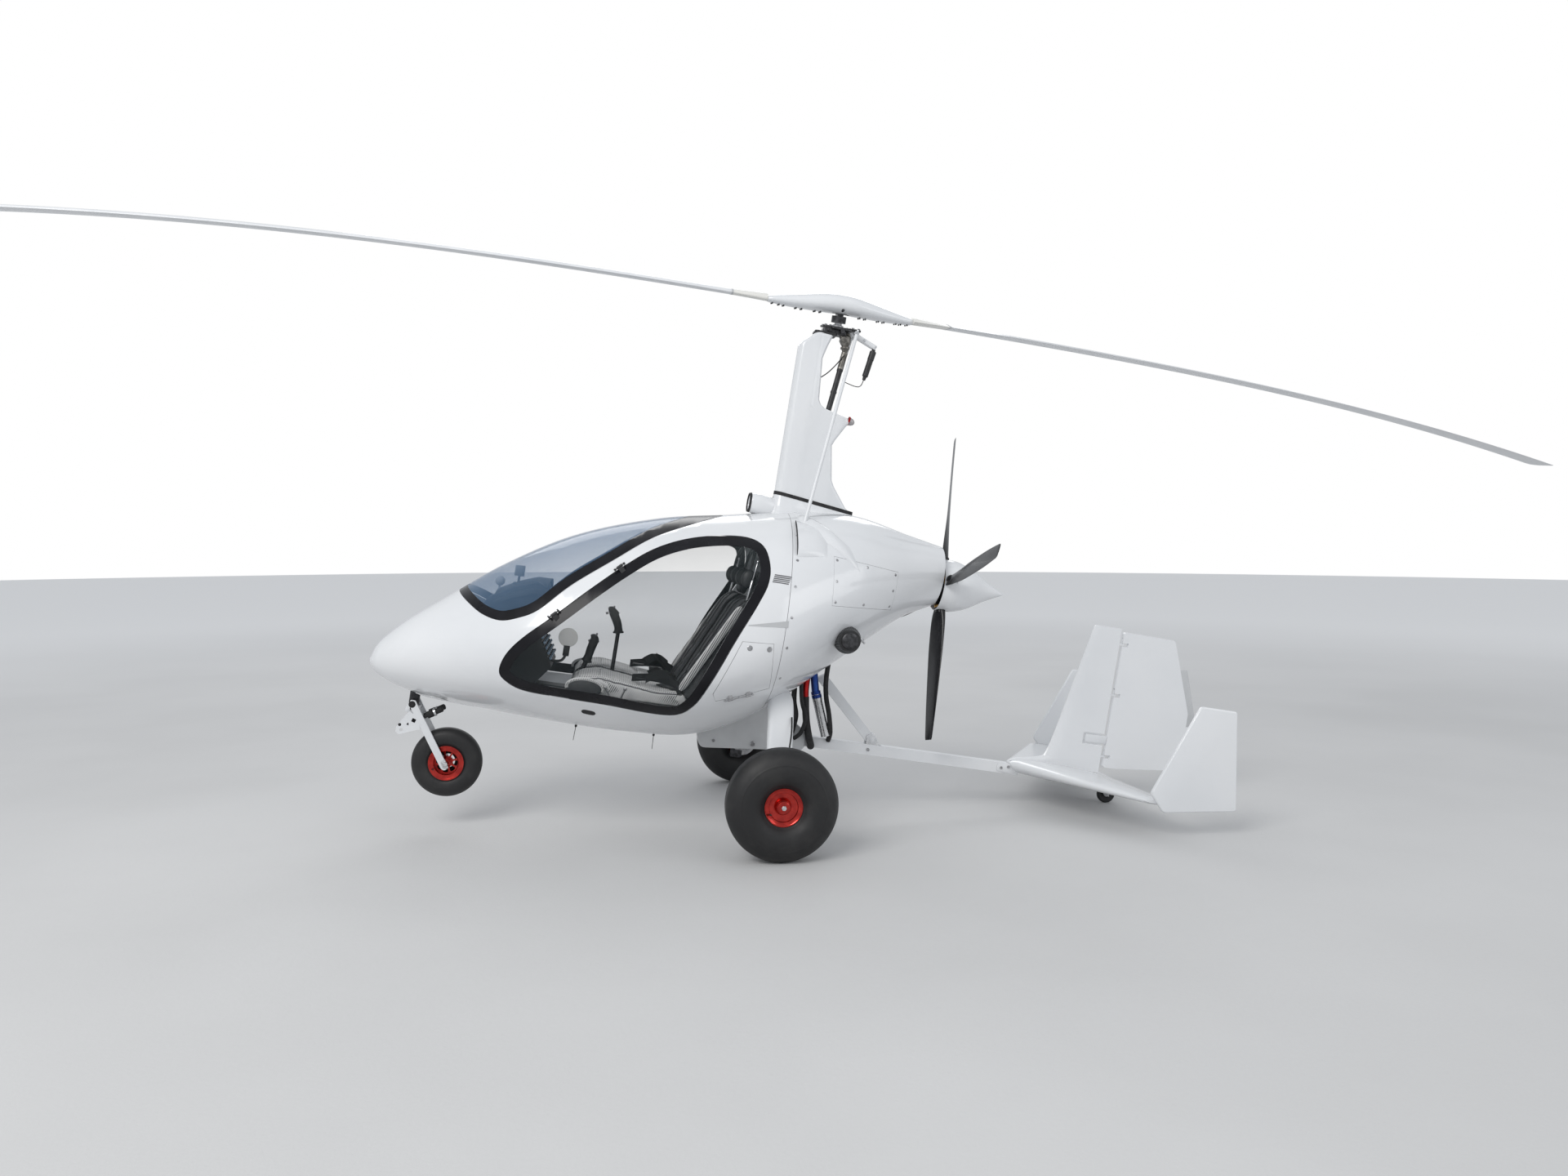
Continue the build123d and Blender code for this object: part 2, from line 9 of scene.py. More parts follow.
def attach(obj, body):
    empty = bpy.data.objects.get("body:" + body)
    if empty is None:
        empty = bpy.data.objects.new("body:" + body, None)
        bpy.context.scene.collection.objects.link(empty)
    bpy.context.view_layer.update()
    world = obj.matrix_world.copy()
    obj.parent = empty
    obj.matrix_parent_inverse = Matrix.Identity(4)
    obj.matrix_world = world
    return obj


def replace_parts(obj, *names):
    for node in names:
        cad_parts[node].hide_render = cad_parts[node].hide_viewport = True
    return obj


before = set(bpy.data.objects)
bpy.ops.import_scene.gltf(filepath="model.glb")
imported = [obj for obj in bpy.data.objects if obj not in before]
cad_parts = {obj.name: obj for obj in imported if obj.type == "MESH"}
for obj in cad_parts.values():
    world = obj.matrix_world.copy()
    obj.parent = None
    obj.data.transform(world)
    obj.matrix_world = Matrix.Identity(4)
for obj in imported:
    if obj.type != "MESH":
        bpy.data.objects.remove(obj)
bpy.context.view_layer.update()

# Driving dimensions in metres, drawn with the keel level like the part's source
PITCH = math.radians(9.2)
AXLE = Vector((0.440, 0.0, 0.256))
SHIFT = Vector((-0.03326, 0.0, 0.0))
TRACK_HALF = 0.840
WALL = 0.010
COWL_WALL = 0.008
PANE = 0.0045
SEAM_X = 0.510
FLOOR_Z = 0.415
KEEL_LEVEL = Matrix.Identity(4)
SET_DOWN = (Matrix.Translation(AXLE + SHIFT) @ Matrix.Rotation(-PITCH, 4, "Y")
            @ Matrix.Translation(-AXLE))

# Hull stations, tail to nose: x, bottom, top, half width, height of the widest line
HULL = [
    (-0.340, 1.230, 1.545, 0.162, 1.388), (-0.160, 1.128, 1.576, 0.245, 1.345),
    (0.160, 0.845, 1.629, 0.440, 1.215), (0.510, 0.550, 1.590, 0.612, 0.985),
    (0.810, 0.396, 1.527, 0.660, 0.860), (1.150, 0.360, 1.453, 0.640, 0.820),
    (1.550, 0.362, 1.303, 0.555, 0.775), (1.880, 0.379, 1.098, 0.430, 0.705),
    (2.130, 0.396, 0.893, 0.300, 0.638), (2.290, 0.429, 0.759, 0.205, 0.592),
    (2.392, 0.471, 0.652, 0.112, 0.560), (2.424, 0.495, 0.602, 0.062, 0.545),
    (2.438, 0.516, 0.556, 0.024, 0.536),
]
RING_POINTS = 96
DOOR = [
    (1.782, 0.626), (1.762, 0.707), (1.698, 0.796), (1.568, 0.924), (1.439, 1.055), (1.306, 1.181),
    (1.168, 1.292), (1.021, 1.365), (0.866, 1.407), (0.731, 1.421), (0.653, 1.391), (0.619, 1.311),
    (0.620, 1.226), (0.653, 1.133), (0.743, 0.932), (0.822, 0.728), (0.876, 0.609), (0.940, 0.550),
    (1.053, 0.536), (1.284, 0.547), (1.513, 0.547), (1.665, 0.553), (1.746, 0.583),
]
SCREEN_EDGE = [
    (2.064, 0.945), (1.996, 0.908), (1.910, 0.869), (1.819, 0.856), (1.735, 0.883), (1.647, 0.936),
    (1.517, 1.071), (1.348, 1.211), (1.174, 1.349), (0.985, 1.448), (0.836, 1.516),
]
HATCH = [(0.706, 0.941), (0.557, 0.949), (0.530, 0.731), (0.780, 0.643), (0.799, 0.676)]
COWL_PANEL = [(0.301, 1.399), (-0.060, 1.373), (-0.060, 1.180), (0.290, 1.164)]
COWL_SCREWS = [(0.488, 1.470), (0.486, 1.352), (0.487, 1.227), (0.488, 1.082), (0.489, 0.938),
               (0.487, 0.786), (0.486, 0.660)]
PANEL_SCREWS = [(0.285, 1.383), (0.120, 1.372), (-0.045, 1.358), (-0.045, 1.277), (-0.045, 1.196),
                (0.115, 1.188), (0.275, 1.182), (0.280, 1.282)]

# Mast fairing: height, then where its back and its front edge stand
MAST_BACK = [(1.500, 0.157), (1.634, 0.157), (1.660, 0.200), (1.779, 0.296), (1.976, 0.328), (2.080, 0.268),
             (2.101, 0.252), (2.124, 0.264), (2.150, 0.395), (2.165, 0.420), (2.190, 0.434), (2.403, 0.450),
             (2.470, 0.432), (2.528, 0.412)]
MAST_FRONT = [(1.500, 0.588), (1.677, 0.583), (2.455, 0.580), (2.528, 0.502)]

# Rotor and propeller; hub bar and blade stations run out from the middle
HUB = Vector((0.393, 0.0, 2.695))
LEAN = math.radians(1.7)
ROLL = math.radians(-9)
ROTOR = (SET_DOWN @ Matrix.Translation(HUB) @ Matrix.Rotation(ROLL, 4, "X") @ Matrix.Rotation(LEAN, 4, "Y")
         @ Matrix.Rotation(math.radians(1.9), 4, "Z"))
HUB_BAR = [
    (-0.385, 0.036, 0.017, -0.028), (-0.250, 0.066, 0.033, -0.018), (-0.090, 0.094, 0.048, -0.002),
    (0.0, 0.098, 0.050, 0.002), (0.090, 0.094, 0.048, -0.002), (0.250, 0.066, 0.033, -0.018),
    (0.385, 0.036, 0.017, -0.028),
]
BLADE_WIDE = [(0.386, 0.090), (0.560, 0.150), (0.900, 0.220), (4.265, 0.220)]
BLADE_TALL = [(0.386, 0.038), (0.560, 0.028), (0.900, 0.026), (4.265, 0.026)]
BOLT = [(0, -0.002), (0.0075, -0.002), (0.0075, 0.005), (0.0060, 0.0065), (0, 0.0065)]
SCREW = [(0, -0.002), (0.0068, -0.002), (0.0072, 0.0), (0.0060, 0.0014), (0.0028, 0.0018), (0.0024, 0.0010),
         (0, 0.0010)]
PROP = Vector((-0.385, 0.0, 1.345))
PROP_ANGLES = (75.6, 165.6, 255.6, 345.6)
PROP_TIP = 0.824
PROP_BLADE = [
    (0.100, 0.050, 0.044, 48), (0.180, 0.088, 0.026, 56), (0.300, 0.106, 0.018, 64),
    (0.420, 0.112, 0.014, 70), (0.650, 0.098, 0.010, 76), (0.810, 0.074, 0.007, 79),
]
SPINNER = [(-0.036, 0.1375), (-0.070, 0.1325), (-0.140, 0.1080), (-0.230, 0.0560), (-0.300, 0.0210),
           (-0.343, 0.0010)]

# Wheels: half a tyre's profile and a rim's whole one, as (radius, distance out from the middle)
MAIN_TYRE = [
    (0.2560, 0.0200), (0.2535, 0.0360), (0.2440, 0.0550), (0.2300, 0.0715), (0.2135, 0.0835),
    (0.1985, 0.0905), (0.1965, 0.0922), (0.1925, 0.0935), (0.1905, 0.0932), (0.1720, 0.0968),
    (0.1500, 0.0968), (0.1300, 0.0922), (0.1140, 0.0835), (0.1040, 0.0755), (0.0940, 0.0645),
    (0.0885, 0.0615), (0.0763, 0.0560),
]
MAIN_RIM = [
    (0.0161, -0.062), (0.034, -0.062), (0.034, 0.038), (0.064, 0.046), (0.064, -0.060), (0.067, -0.066),
    (0.0865, -0.066), (0.0875, -0.0640), (0.0865, -0.0618), (0.077, -0.0575), (0.0755, -0.054),
    (0.0755, 0.054), (0.077, 0.0575), (0.0865, 0.0618), (0.0875, 0.0640), (0.0862, 0.0665), (0.0835, 0.0665),
    (0.080, 0.0635), (0.0665, 0.060), (0.064, 0.054), (0.050, 0.0505), (0.034, 0.046), (0.034, 0.054),
    (0.031, 0.058), (0.0161, 0.058),
]
NOSE_TYRE = [
    (0.1720, 0.0130), (0.1705, 0.0200), (0.1650, 0.0300), (0.1570, 0.0385), (0.1480, 0.0448),
    (0.1360, 0.0482), (0.1240, 0.0496), (0.1100, 0.0488), (0.0980, 0.0455), (0.0910, 0.0405),
    (0.0875, 0.0388), (0.0663, 0.0350),
]
NOSE_RIM = [
    (0.0092, -0.047), (0.022, -0.047), (0.022, -0.006), (0.058, -0.006), (0.058, -0.040), (0.061, -0.044),
    (0.0862, -0.0445), (0.087, -0.0425), (0.0862, -0.0402), (0.067, -0.0365), (0.066, -0.034),
    (0.066, 0.034), (0.067, 0.0365), (0.0862, 0.0402), (0.087, 0.0425), (0.0862, 0.0455), (0.083, 0.0455),
    (0.079, 0.0430), (0.061, 0.041), (0.058, 0.038), (0.058, 0.006), (0.022, 0.006), (0.022, 0.044),
    (0.019, 0.047), (0.0092, 0.047),
]
NOSE_X, NOSE_Z, STEER_X = 2.003, 0.079, 2.205
NOSE_DAMPER = (2.152, 0.288), (2.056, 0.348)
# Main leg from inside the flank to the axle: y, z, half width along x, half thickness
LEG_PATH = [
    (0.270, 0.665, 0.0625, 0.045), (0.360, 0.645, 0.0625, 0.040), (0.430, 0.590, 0.0625, 0.033),
    (0.500, 0.500, 0.0620, 0.027), (0.570, 0.410, 0.0600, 0.024), (0.635, 0.330, 0.0560, 0.022),
    (0.672, 0.288, 0.0520, 0.022), (0.700, 0.258, 0.0460, 0.022),
]
# Centre fin: height, nose, half thickness
FIN_SHAPE = [
    (0.470, -0.905, 0.0200), (0.491, -0.955, 0.0200), (0.505, -1.030, 0.0195), (0.517, -1.082, 0.0190),
    (0.535, -1.101, 0.0185), (0.630, -1.132, 0.0180), (0.950, -1.200, 0.0155), (1.235, -1.2605, 0.0133),
    (1.262, -1.2665, 0.0120),
]
# Side outlines of the seat's cushion, back and headrest
CUSHION = [(1.440, 0.562), (1.478, 0.585), (1.445, 0.640), (1.330, 0.664), (1.050, 0.628), (0.900, 0.640),
           (0.870, 0.562)]
SEAT_BACK = [(0.960, 0.605), (0.860, 0.600), (0.640, 1.090), (0.632, 1.135), (0.668, 1.150), (0.728, 1.095)]
HEADREST = [(0.668, 1.140), (0.632, 1.120), (0.600, 1.270), (0.640, 1.275)]
# Tail wheel's middle, and the pins that the rudder turns on
TAIL_X = -1.490
TAIL_Z = AXLE.z + (0.050 - AXLE.z - math.sin(PITCH) * (TAIL_X - AXLE.x)) / math.cos(PITCH)
RUDDER_X = -1.440
RUDDER_PINS = (0.560, 0.900, 1.180)

# Hinge lines of door and hatch, for each door pin its place and the skin's normal, and the door's gap
DOOR_LINE = (262.8, 50.6, -261.4)
DOOR_PINS = [((1.5748, 0.5334, 0.9303), (0.341, 0.888, 0.309)),
             ((1.3120, 0.4828, 1.1917), (0.279, 0.739, 0.613))]
HATCH_PIN = (0.6701, 0.5757, 0.6720)
HATCH_LINE = (-0.926, -0.195, 0.324)
DOOR_GAP = 0.0035

# Between which values of y the tools that cut doors, hatches and cowl panels reach
DOOR_REACH, HATCH_REACH, PANEL_REACH = (0.25, 0.95), (0.3, 0.95), (0.15, 0.7)

# Axis of the air filter, ends of the pipe behind the cabin, and the near seat's middle
FILTER_X, FILTER_Z = 0.166, 1.006
PIPE_FOOT, PIPE_TOP = (0.124, 0.060, 0.474), (0.214, 0.060, 0.698)
SEAT_MIDDLE = 0.243


class Value:
    """A shader socket that takes part in arithmetic: each operation adds a Math node."""

    def __init__(self, tree, socket):
        self.tree = tree
        self.socket = socket

    def math(self, operation, *others):
        node = self.tree.nodes.new("ShaderNodeMath")
        node.operation = operation
        for slot, value in zip(node.inputs, (self, *others)):
            plug(self.tree, slot, value)
        return Value(self.tree, node.outputs[0])

    def __add__(self, other):
        return self.math("ADD", other)

    def __radd__(self, other):
        return self.math("ADD", other)

    def __sub__(self, other):
        return self.math("SUBTRACT", other)

    def __rsub__(self, other):
        return (self * -1.0) + other

    def __mul__(self, other):
        return self.math("MULTIPLY", other)

    def __rmul__(self, other):
        return self.math("MULTIPLY", other)

    def clamp(self):
        return self.math("MAXIMUM", 0.0).math("MINIMUM", 1.0)


def plug(tree, slot, value):
    if isinstance(value, Value):
        tree.links.new(value.socket, slot)
    else:
        slot.default_value = value


class Finish:
    """A procedural material under construction, with one Principled shader."""

    def __init__(self, name, rough, metal=0.0, **constants):
        self.material = bpy.data.materials.new(name)
        self.material.use_nodes = True
        self.tree = self.material.node_tree
        self.shader = self.tree.nodes["Principled BSDF"]
        self.shader.inputs["Roughness"].default_value = rough
        self.shader.inputs["Metallic"].default_value = metal
        for key, value in constants.items():
            self.shader.inputs[key.replace("_", " ")].default_value = value
        self.place = self.node("ShaderNodeTexCoord", output="Object")

    def node(self, kind, output=0, inputs=(), **settings):
        node = self.tree.nodes.new(kind)
        for key, value in settings.items():
            setattr(node, key, value)
        for key, value in dict(inputs).items():
            plug(self.tree, node.inputs[key], value)
        return Value(self.tree, node.outputs[output])

    def noise(self, scale, detail=3.0, rough=0.5):
        inputs = {"Vector": self.place, "Scale": scale, "Detail": detail, "Roughness": rough}
        return self.node("ShaderNodeTexNoise", inputs=inputs)

    def axes(self):
        parts = self.node("ShaderNodeSeparateXYZ", inputs={"Vector": self.place})
        node = parts.socket.node
        return [Value(self.tree, node.outputs[k]) for k in range(3)]

    def ramp(self, value, low, high):
        """0 below low and 1 above high, smooth between."""
        return self.node("ShaderNodeMapRange", interpolation_type="SMOOTHSTEP", inputs={
            "Value": value, "From Min": low, "From Max": high})

    def mix(self, factor, first, second):
        node = self.tree.nodes.new("ShaderNodeMix")
        node.data_type = "RGBA"
        plug(self.tree, node.inputs["Factor"], factor)
        for slot, value in ((node.inputs[6], first), (node.inputs[7], second)):
            plug(self.tree, slot, value if isinstance(value, Value) else (*value, 1.0))
        return Value(self.tree, node.outputs[2])

    def wire(self, name, value):
        plug(self.tree, self.shader.inputs[name], value)

    def bump(self, height, distance):
        self.wire("Normal", self.node("ShaderNodeBump", inputs={
            "Height": height, "Distance": distance, "Strength": 1.0}))


FINISHES = {}


def speckled(name, dark, light, scale, rough, spread=0.08, bump=0.0, bump_scale=None, metal=0.0,
             **constants):
    """A plain finish: two shades under noise, its roughness varied, and a fine bump."""
    finish = Finish(name, rough, metal, **constants)
    cloud = finish.noise(scale, 5.0)
    finish.wire("Base Color", finish.mix(finish.ramp(cloud, 0.3, 0.7), dark, light))
    finish.wire("Roughness", finish.noise(scale * 2.3, 4.0) * spread + (rough - spread / 2))
    if bump:
        finish.bump(finish.noise(bump_scale or scale * 20, 2.0), bump)
    FINISHES[name] = finish.material


def make_finishes():
    speckled("white_gel", (0.74, 0.755, 0.775), (0.785, 0.795, 0.81), 1.6, 0.2, 0.06, 0.00025, 26.0,
             Coat_Weight=0.6, Coat_Roughness=0.06)
    speckled("white_paint", (0.70, 0.715, 0.735), (0.76, 0.77, 0.785), 3.0, 0.34, 0.1, 0.0001, 160.0,
             Coat_Weight=0.25, Coat_Roughness=0.15)
    speckled("blade_paint", (0.76, 0.75, 0.71), (0.82, 0.81, 0.775), 4.0, 0.4, 0.12, 0.0001, 90.0,
             Coat_Weight=0.15)
    speckled("frit", (0.006, 0.006, 0.008), (0.011, 0.011, 0.014), 9.0, 0.22, 0.08, Specular_IOR_Level=0.2)
    speckled("satin_black", (0.012, 0.012, 0.013), (0.028, 0.028, 0.030), 30.0, 0.45, 0.16, 0.0002, 700.0)
    speckled("soft_black", (0.010, 0.010, 0.011), (0.022, 0.022, 0.023), 60.0, 0.75, 0.12, 0.0003, 500.0)
    speckled("cabin_black", (0.010, 0.010, 0.012), (0.020, 0.020, 0.023), 25.0, 0.6, 0.14, 0.0004, 420.0)
    speckled("cabin_grey", (0.19, 0.20, 0.21), (0.26, 0.27, 0.28), 40.0, 0.7, 0.12, 0.0004, 300.0)
    speckled("steel", (0.34, 0.34, 0.35), (0.52, 0.52, 0.53), 60.0, 0.3, 0.14, 0.0001, 500.0, 1.0)
    speckled("silver", (0.60, 0.61, 0.62), (0.74, 0.74, 0.75), 50.0, 0.28, 0.12, 0.0001, 300.0, 1.0)
    speckled("cast_metal", (0.10, 0.095, 0.085), (0.30, 0.285, 0.26), 40.0, 0.42, 0.2, 0.0006, 160.0, 0.85)
    speckled("dark_metal", (0.03, 0.03, 0.032), (0.08, 0.08, 0.085), 50.0, 0.38, 0.16, 0.0002, 300.0, 0.7)
    speckled("brass", (0.50, 0.27, 0.07), (0.70, 0.42, 0.12), 40.0, 0.26, 0.12, 0.0001, 200.0, 1.0)
    speckled("red_metal", (0.34, 0.012, 0.008), (0.50, 0.028, 0.018), 30.0, 0.24, 0.1, 0.0001, 300.0, 0.9,
             Coat_Weight=0.5)
    speckled("blue_metal", (0.015, 0.04, 0.20), (0.03, 0.08, 0.30), 30.0, 0.3, 0.1, metal=0.8)
    speckled("red_fitting", (0.35, 0.01, 0.01), (0.5, 0.02, 0.02), 30.0, 0.3, 0.1, metal=0.8)
    speckled("carbon", (0.005, 0.005, 0.006), (0.013, 0.013, 0.015), 14.0, 0.22, 0.08,
             Specular_IOR_Level=0.35)
    speckled("belt", (0.008, 0.008, 0.009), (0.02, 0.02, 0.021), 240.0, 0.8, 0.1, 0.0004, 900.0)
    speckled("belly_grey", (0.48, 0.49, 0.50), (0.56, 0.57, 0.58), 6.0, 0.45, 0.1, 0.0002, 120.0)
    speckled("decal_grey", (0.10, 0.10, 0.11), (0.14, 0.14, 0.15), 90.0, 0.4, 0.1)
    speckled("amber_lens", (0.30, 0.30, 0.31), (0.46, 0.42, 0.42), 60.0, 0.12, 0.06, Coat_Weight=0.8)
    # The switch caps' pale blue is a painted highlight: the bluish gleam on the switches.
    speckled("switch_highlight_blue", (0.10, 0.16, 0.24), (0.20, 0.28, 0.38), 60.0, 0.3, 0.1)
    make_rubber()
    # The windshield's blue colour is a painted reflection of sky, laid on the whole pane.
    make_glass("screen_glass", (0.09, 0.21, 0.38), 0.08, 0.48, 0.35)
    make_glass("door_glass", (0.10, 0.13, 0.14), 0.015, 0.30, 0.25)
    make_glass("disc_clear", (0.62, 0.62, 0.60), 0.55, 0.40, 0.5)
    make_charcoal()
    make_perforated()
    make_display()
    make_floor()


def make_rubber():
    finish = Finish("rubber", 0.72)
    fine = finish.noise(420.0, 3.0)
    dust = finish.ramp(finish.noise(7.0, 6.0, 0.6), 0.42, 0.72)
    finish.wire("Base Color", finish.mix(dust * 0.55, (0.009, 0.009, 0.010), (0.030, 0.029, 0.028)))
    finish.wire("Roughness", finish.noise(22.0, 4.0) * 0.16 + 0.48)
    finish.bump(fine, 0.0003)
    FINISHES["rubber"] = finish.material


def make_glass(name, glass_tone, clear, edge, shine):
    """Clear plastic: nearly nothing seen square on, more shine and a stronger, lighter colour at a grazing
    angle.
    """
    finish = Finish(name, 0.04, IOR=1.49, Specular_IOR_Level=shine)
    facing = finish.node("ShaderNodeLayerWeight", output="Facing", inputs={"Blend": 0.35})
    haze = finish.noise(3.0, 4.0) * 0.03
    finish.wire("Alpha", (facing * edge + haze + clear).clamp())
    finish.wire("Base Color", finish.mix(facing, glass_tone, tuple(0.25 + 0.75 * c for c in glass_tone)))
    finish.wire("Roughness", finish.noise(5.0, 3.0) * 0.04 + 0.02)
    FINISHES[name] = finish.material


def make_charcoal():
    """Seat back cloth, dark, with a leather-like grain."""
    finish = Finish("charcoal", 0.6)
    cells = finish.node("ShaderNodeTexVoronoi", inputs={"Vector": finish.place, "Scale": 520.0})
    shade = finish.ramp(finish.noise(18.0, 5.0), 0.35, 0.7)
    finish.wire("Base Color", finish.mix(shade, (0.030, 0.031, 0.034), (0.055, 0.056, 0.060)))
    finish.wire("Roughness", finish.noise(40.0, 3.0) * 0.16 + 0.52)
    finish.bump(cells + finish.noise(900.0, 2.0) * 0.4, 0.0006)
    FINISHES["charcoal"] = finish.material


def make_perforated():
    """Light grey seat fabric with a grid of small dark holes, 10.5 mm apart."""
    finish = Finish("perforated", 0.68)
    x, y, z = finish.axes()
    turn = 2 * math.pi / 0.0105
    across = (y * turn).math("COSINE")
    along = ((x + z * 0.6) * turn).math("COSINE")
    hole = finish.ramp(across + along, 0.85, 1.35)
    worn = finish.ramp(finish.noise(12.0, 5.0), 0.35, 0.75)
    cloth = finish.mix(worn, (0.62, 0.62, 0.62), (0.72, 0.72, 0.71))
    finish.wire("Base Color", finish.mix(hole, cloth, (0.09, 0.09, 0.095)))
    finish.wire("Roughness", finish.noise(60.0, 3.0) * 0.14 + 0.62)
    finish.bump(finish.noise(1200.0, 2.0) * 0.3 - hole, 0.0008)
    FINISHES["perforated"] = finish.material


def make_display():
    """A dark instrument glass with a faint glow of blocks."""
    finish = Finish("display", 0.12, Coat_Weight=0.6)
    cells = finish.node("ShaderNodeTexVoronoi", output="Color", distance="CHEBYCHEV", inputs={
        "Vector": finish.place, "Scale": 55.0, "Randomness": 0.4})
    glow = finish.mix(0.93, cells, (0.01, 0.014, 0.02))
    finish.wire("Base Color", glow)
    finish.wire("Roughness", finish.noise(30.0) * 0.06 + 0.08)
    FINISHES["display"] = finish.material


def make_floor():
    finish = Finish("floor", 0.85)
    cloud = finish.ramp(finish.noise(0.5, 6.0), 0.3, 0.7)
    near = finish.mix(cloud, (0.57, 0.57, 0.57), (0.61, 0.61, 0.61))
    # Painted light: the floor grows paler further from the middle, making up for the lamps' weaker light out
    # there so it fades into the white backdrop.
    away = finish.node("ShaderNodeVectorMath", output="Value", operation="LENGTH", inputs={0: finish.place})
    finish.wire("Base Color", finish.mix(finish.ramp(away, 5.0, 16.0), near, (0.93, 0.93, 0.93)))
    finish.bump(finish.noise(60.0, 4.0), 0.001)
    FINISHES["floor"] = finish.material


def spaced(x0, x1, count):
    return [x0 + (x1 - x0) * k / (count - 1) for k in range(count)]


def eased(count):
    """Shares from 0 to 1, closer together at both ends."""
    return [(1 - math.cos(math.pi * k / count)) / 2 for k in range(count + 1)]


def turns(count):
    """The angles of even steps round a circle."""
    return [2 * math.pi * k / count for k in range(count)]


def smooth_path(points, per=8, closed=False):
    """Points on a smooth curve through the given ones."""
    points = [Vector(p) for p in points]
    count = len(points)
    out = []
    for k in range(count if closed else count - 1):
        if closed:
            a, b, c, d = (points[(k + j) % count] for j in (-1, 0, 1, 2))
        else:
            b, c = points[k], points[k + 1]
            a = points[k - 1] if k else b
            d = points[k + 2] if k + 2 < count else c
        for i in range(per):
            t = i / per
            out.append(0.5 * (2 * b + (c - a) * t + (2 * a - 5 * b + 4 * c - d) * t * t
                              + (3 * b - a - 3 * c + d) * t ** 3))
    if not closed:
        out.append(points[-1])
    return out


def shrunk(outline, amount):
    """A closed outline moved inward; where a tight bend folds it, the crowded points are left out."""
    line = [Vector(p) for p in outline]
    count = len(line)
    area = sum(line[k - 1].x * line[k].y - line[k].x * line[k - 1].y for k in range(count))
    turn = 1 if area > 0 else -1
    out = []
    for k in range(count):
        run = (line[(k + 1) % count] - line[k - 1]).normalized()
        moved = line[k] + Vector((-run.y, run.x)) * amount * turn
        if not out or min((moved - out[-1]).length, (moved - out[0]).length) > 0.1 * abs(amount):
            out.append(moved)
    return out


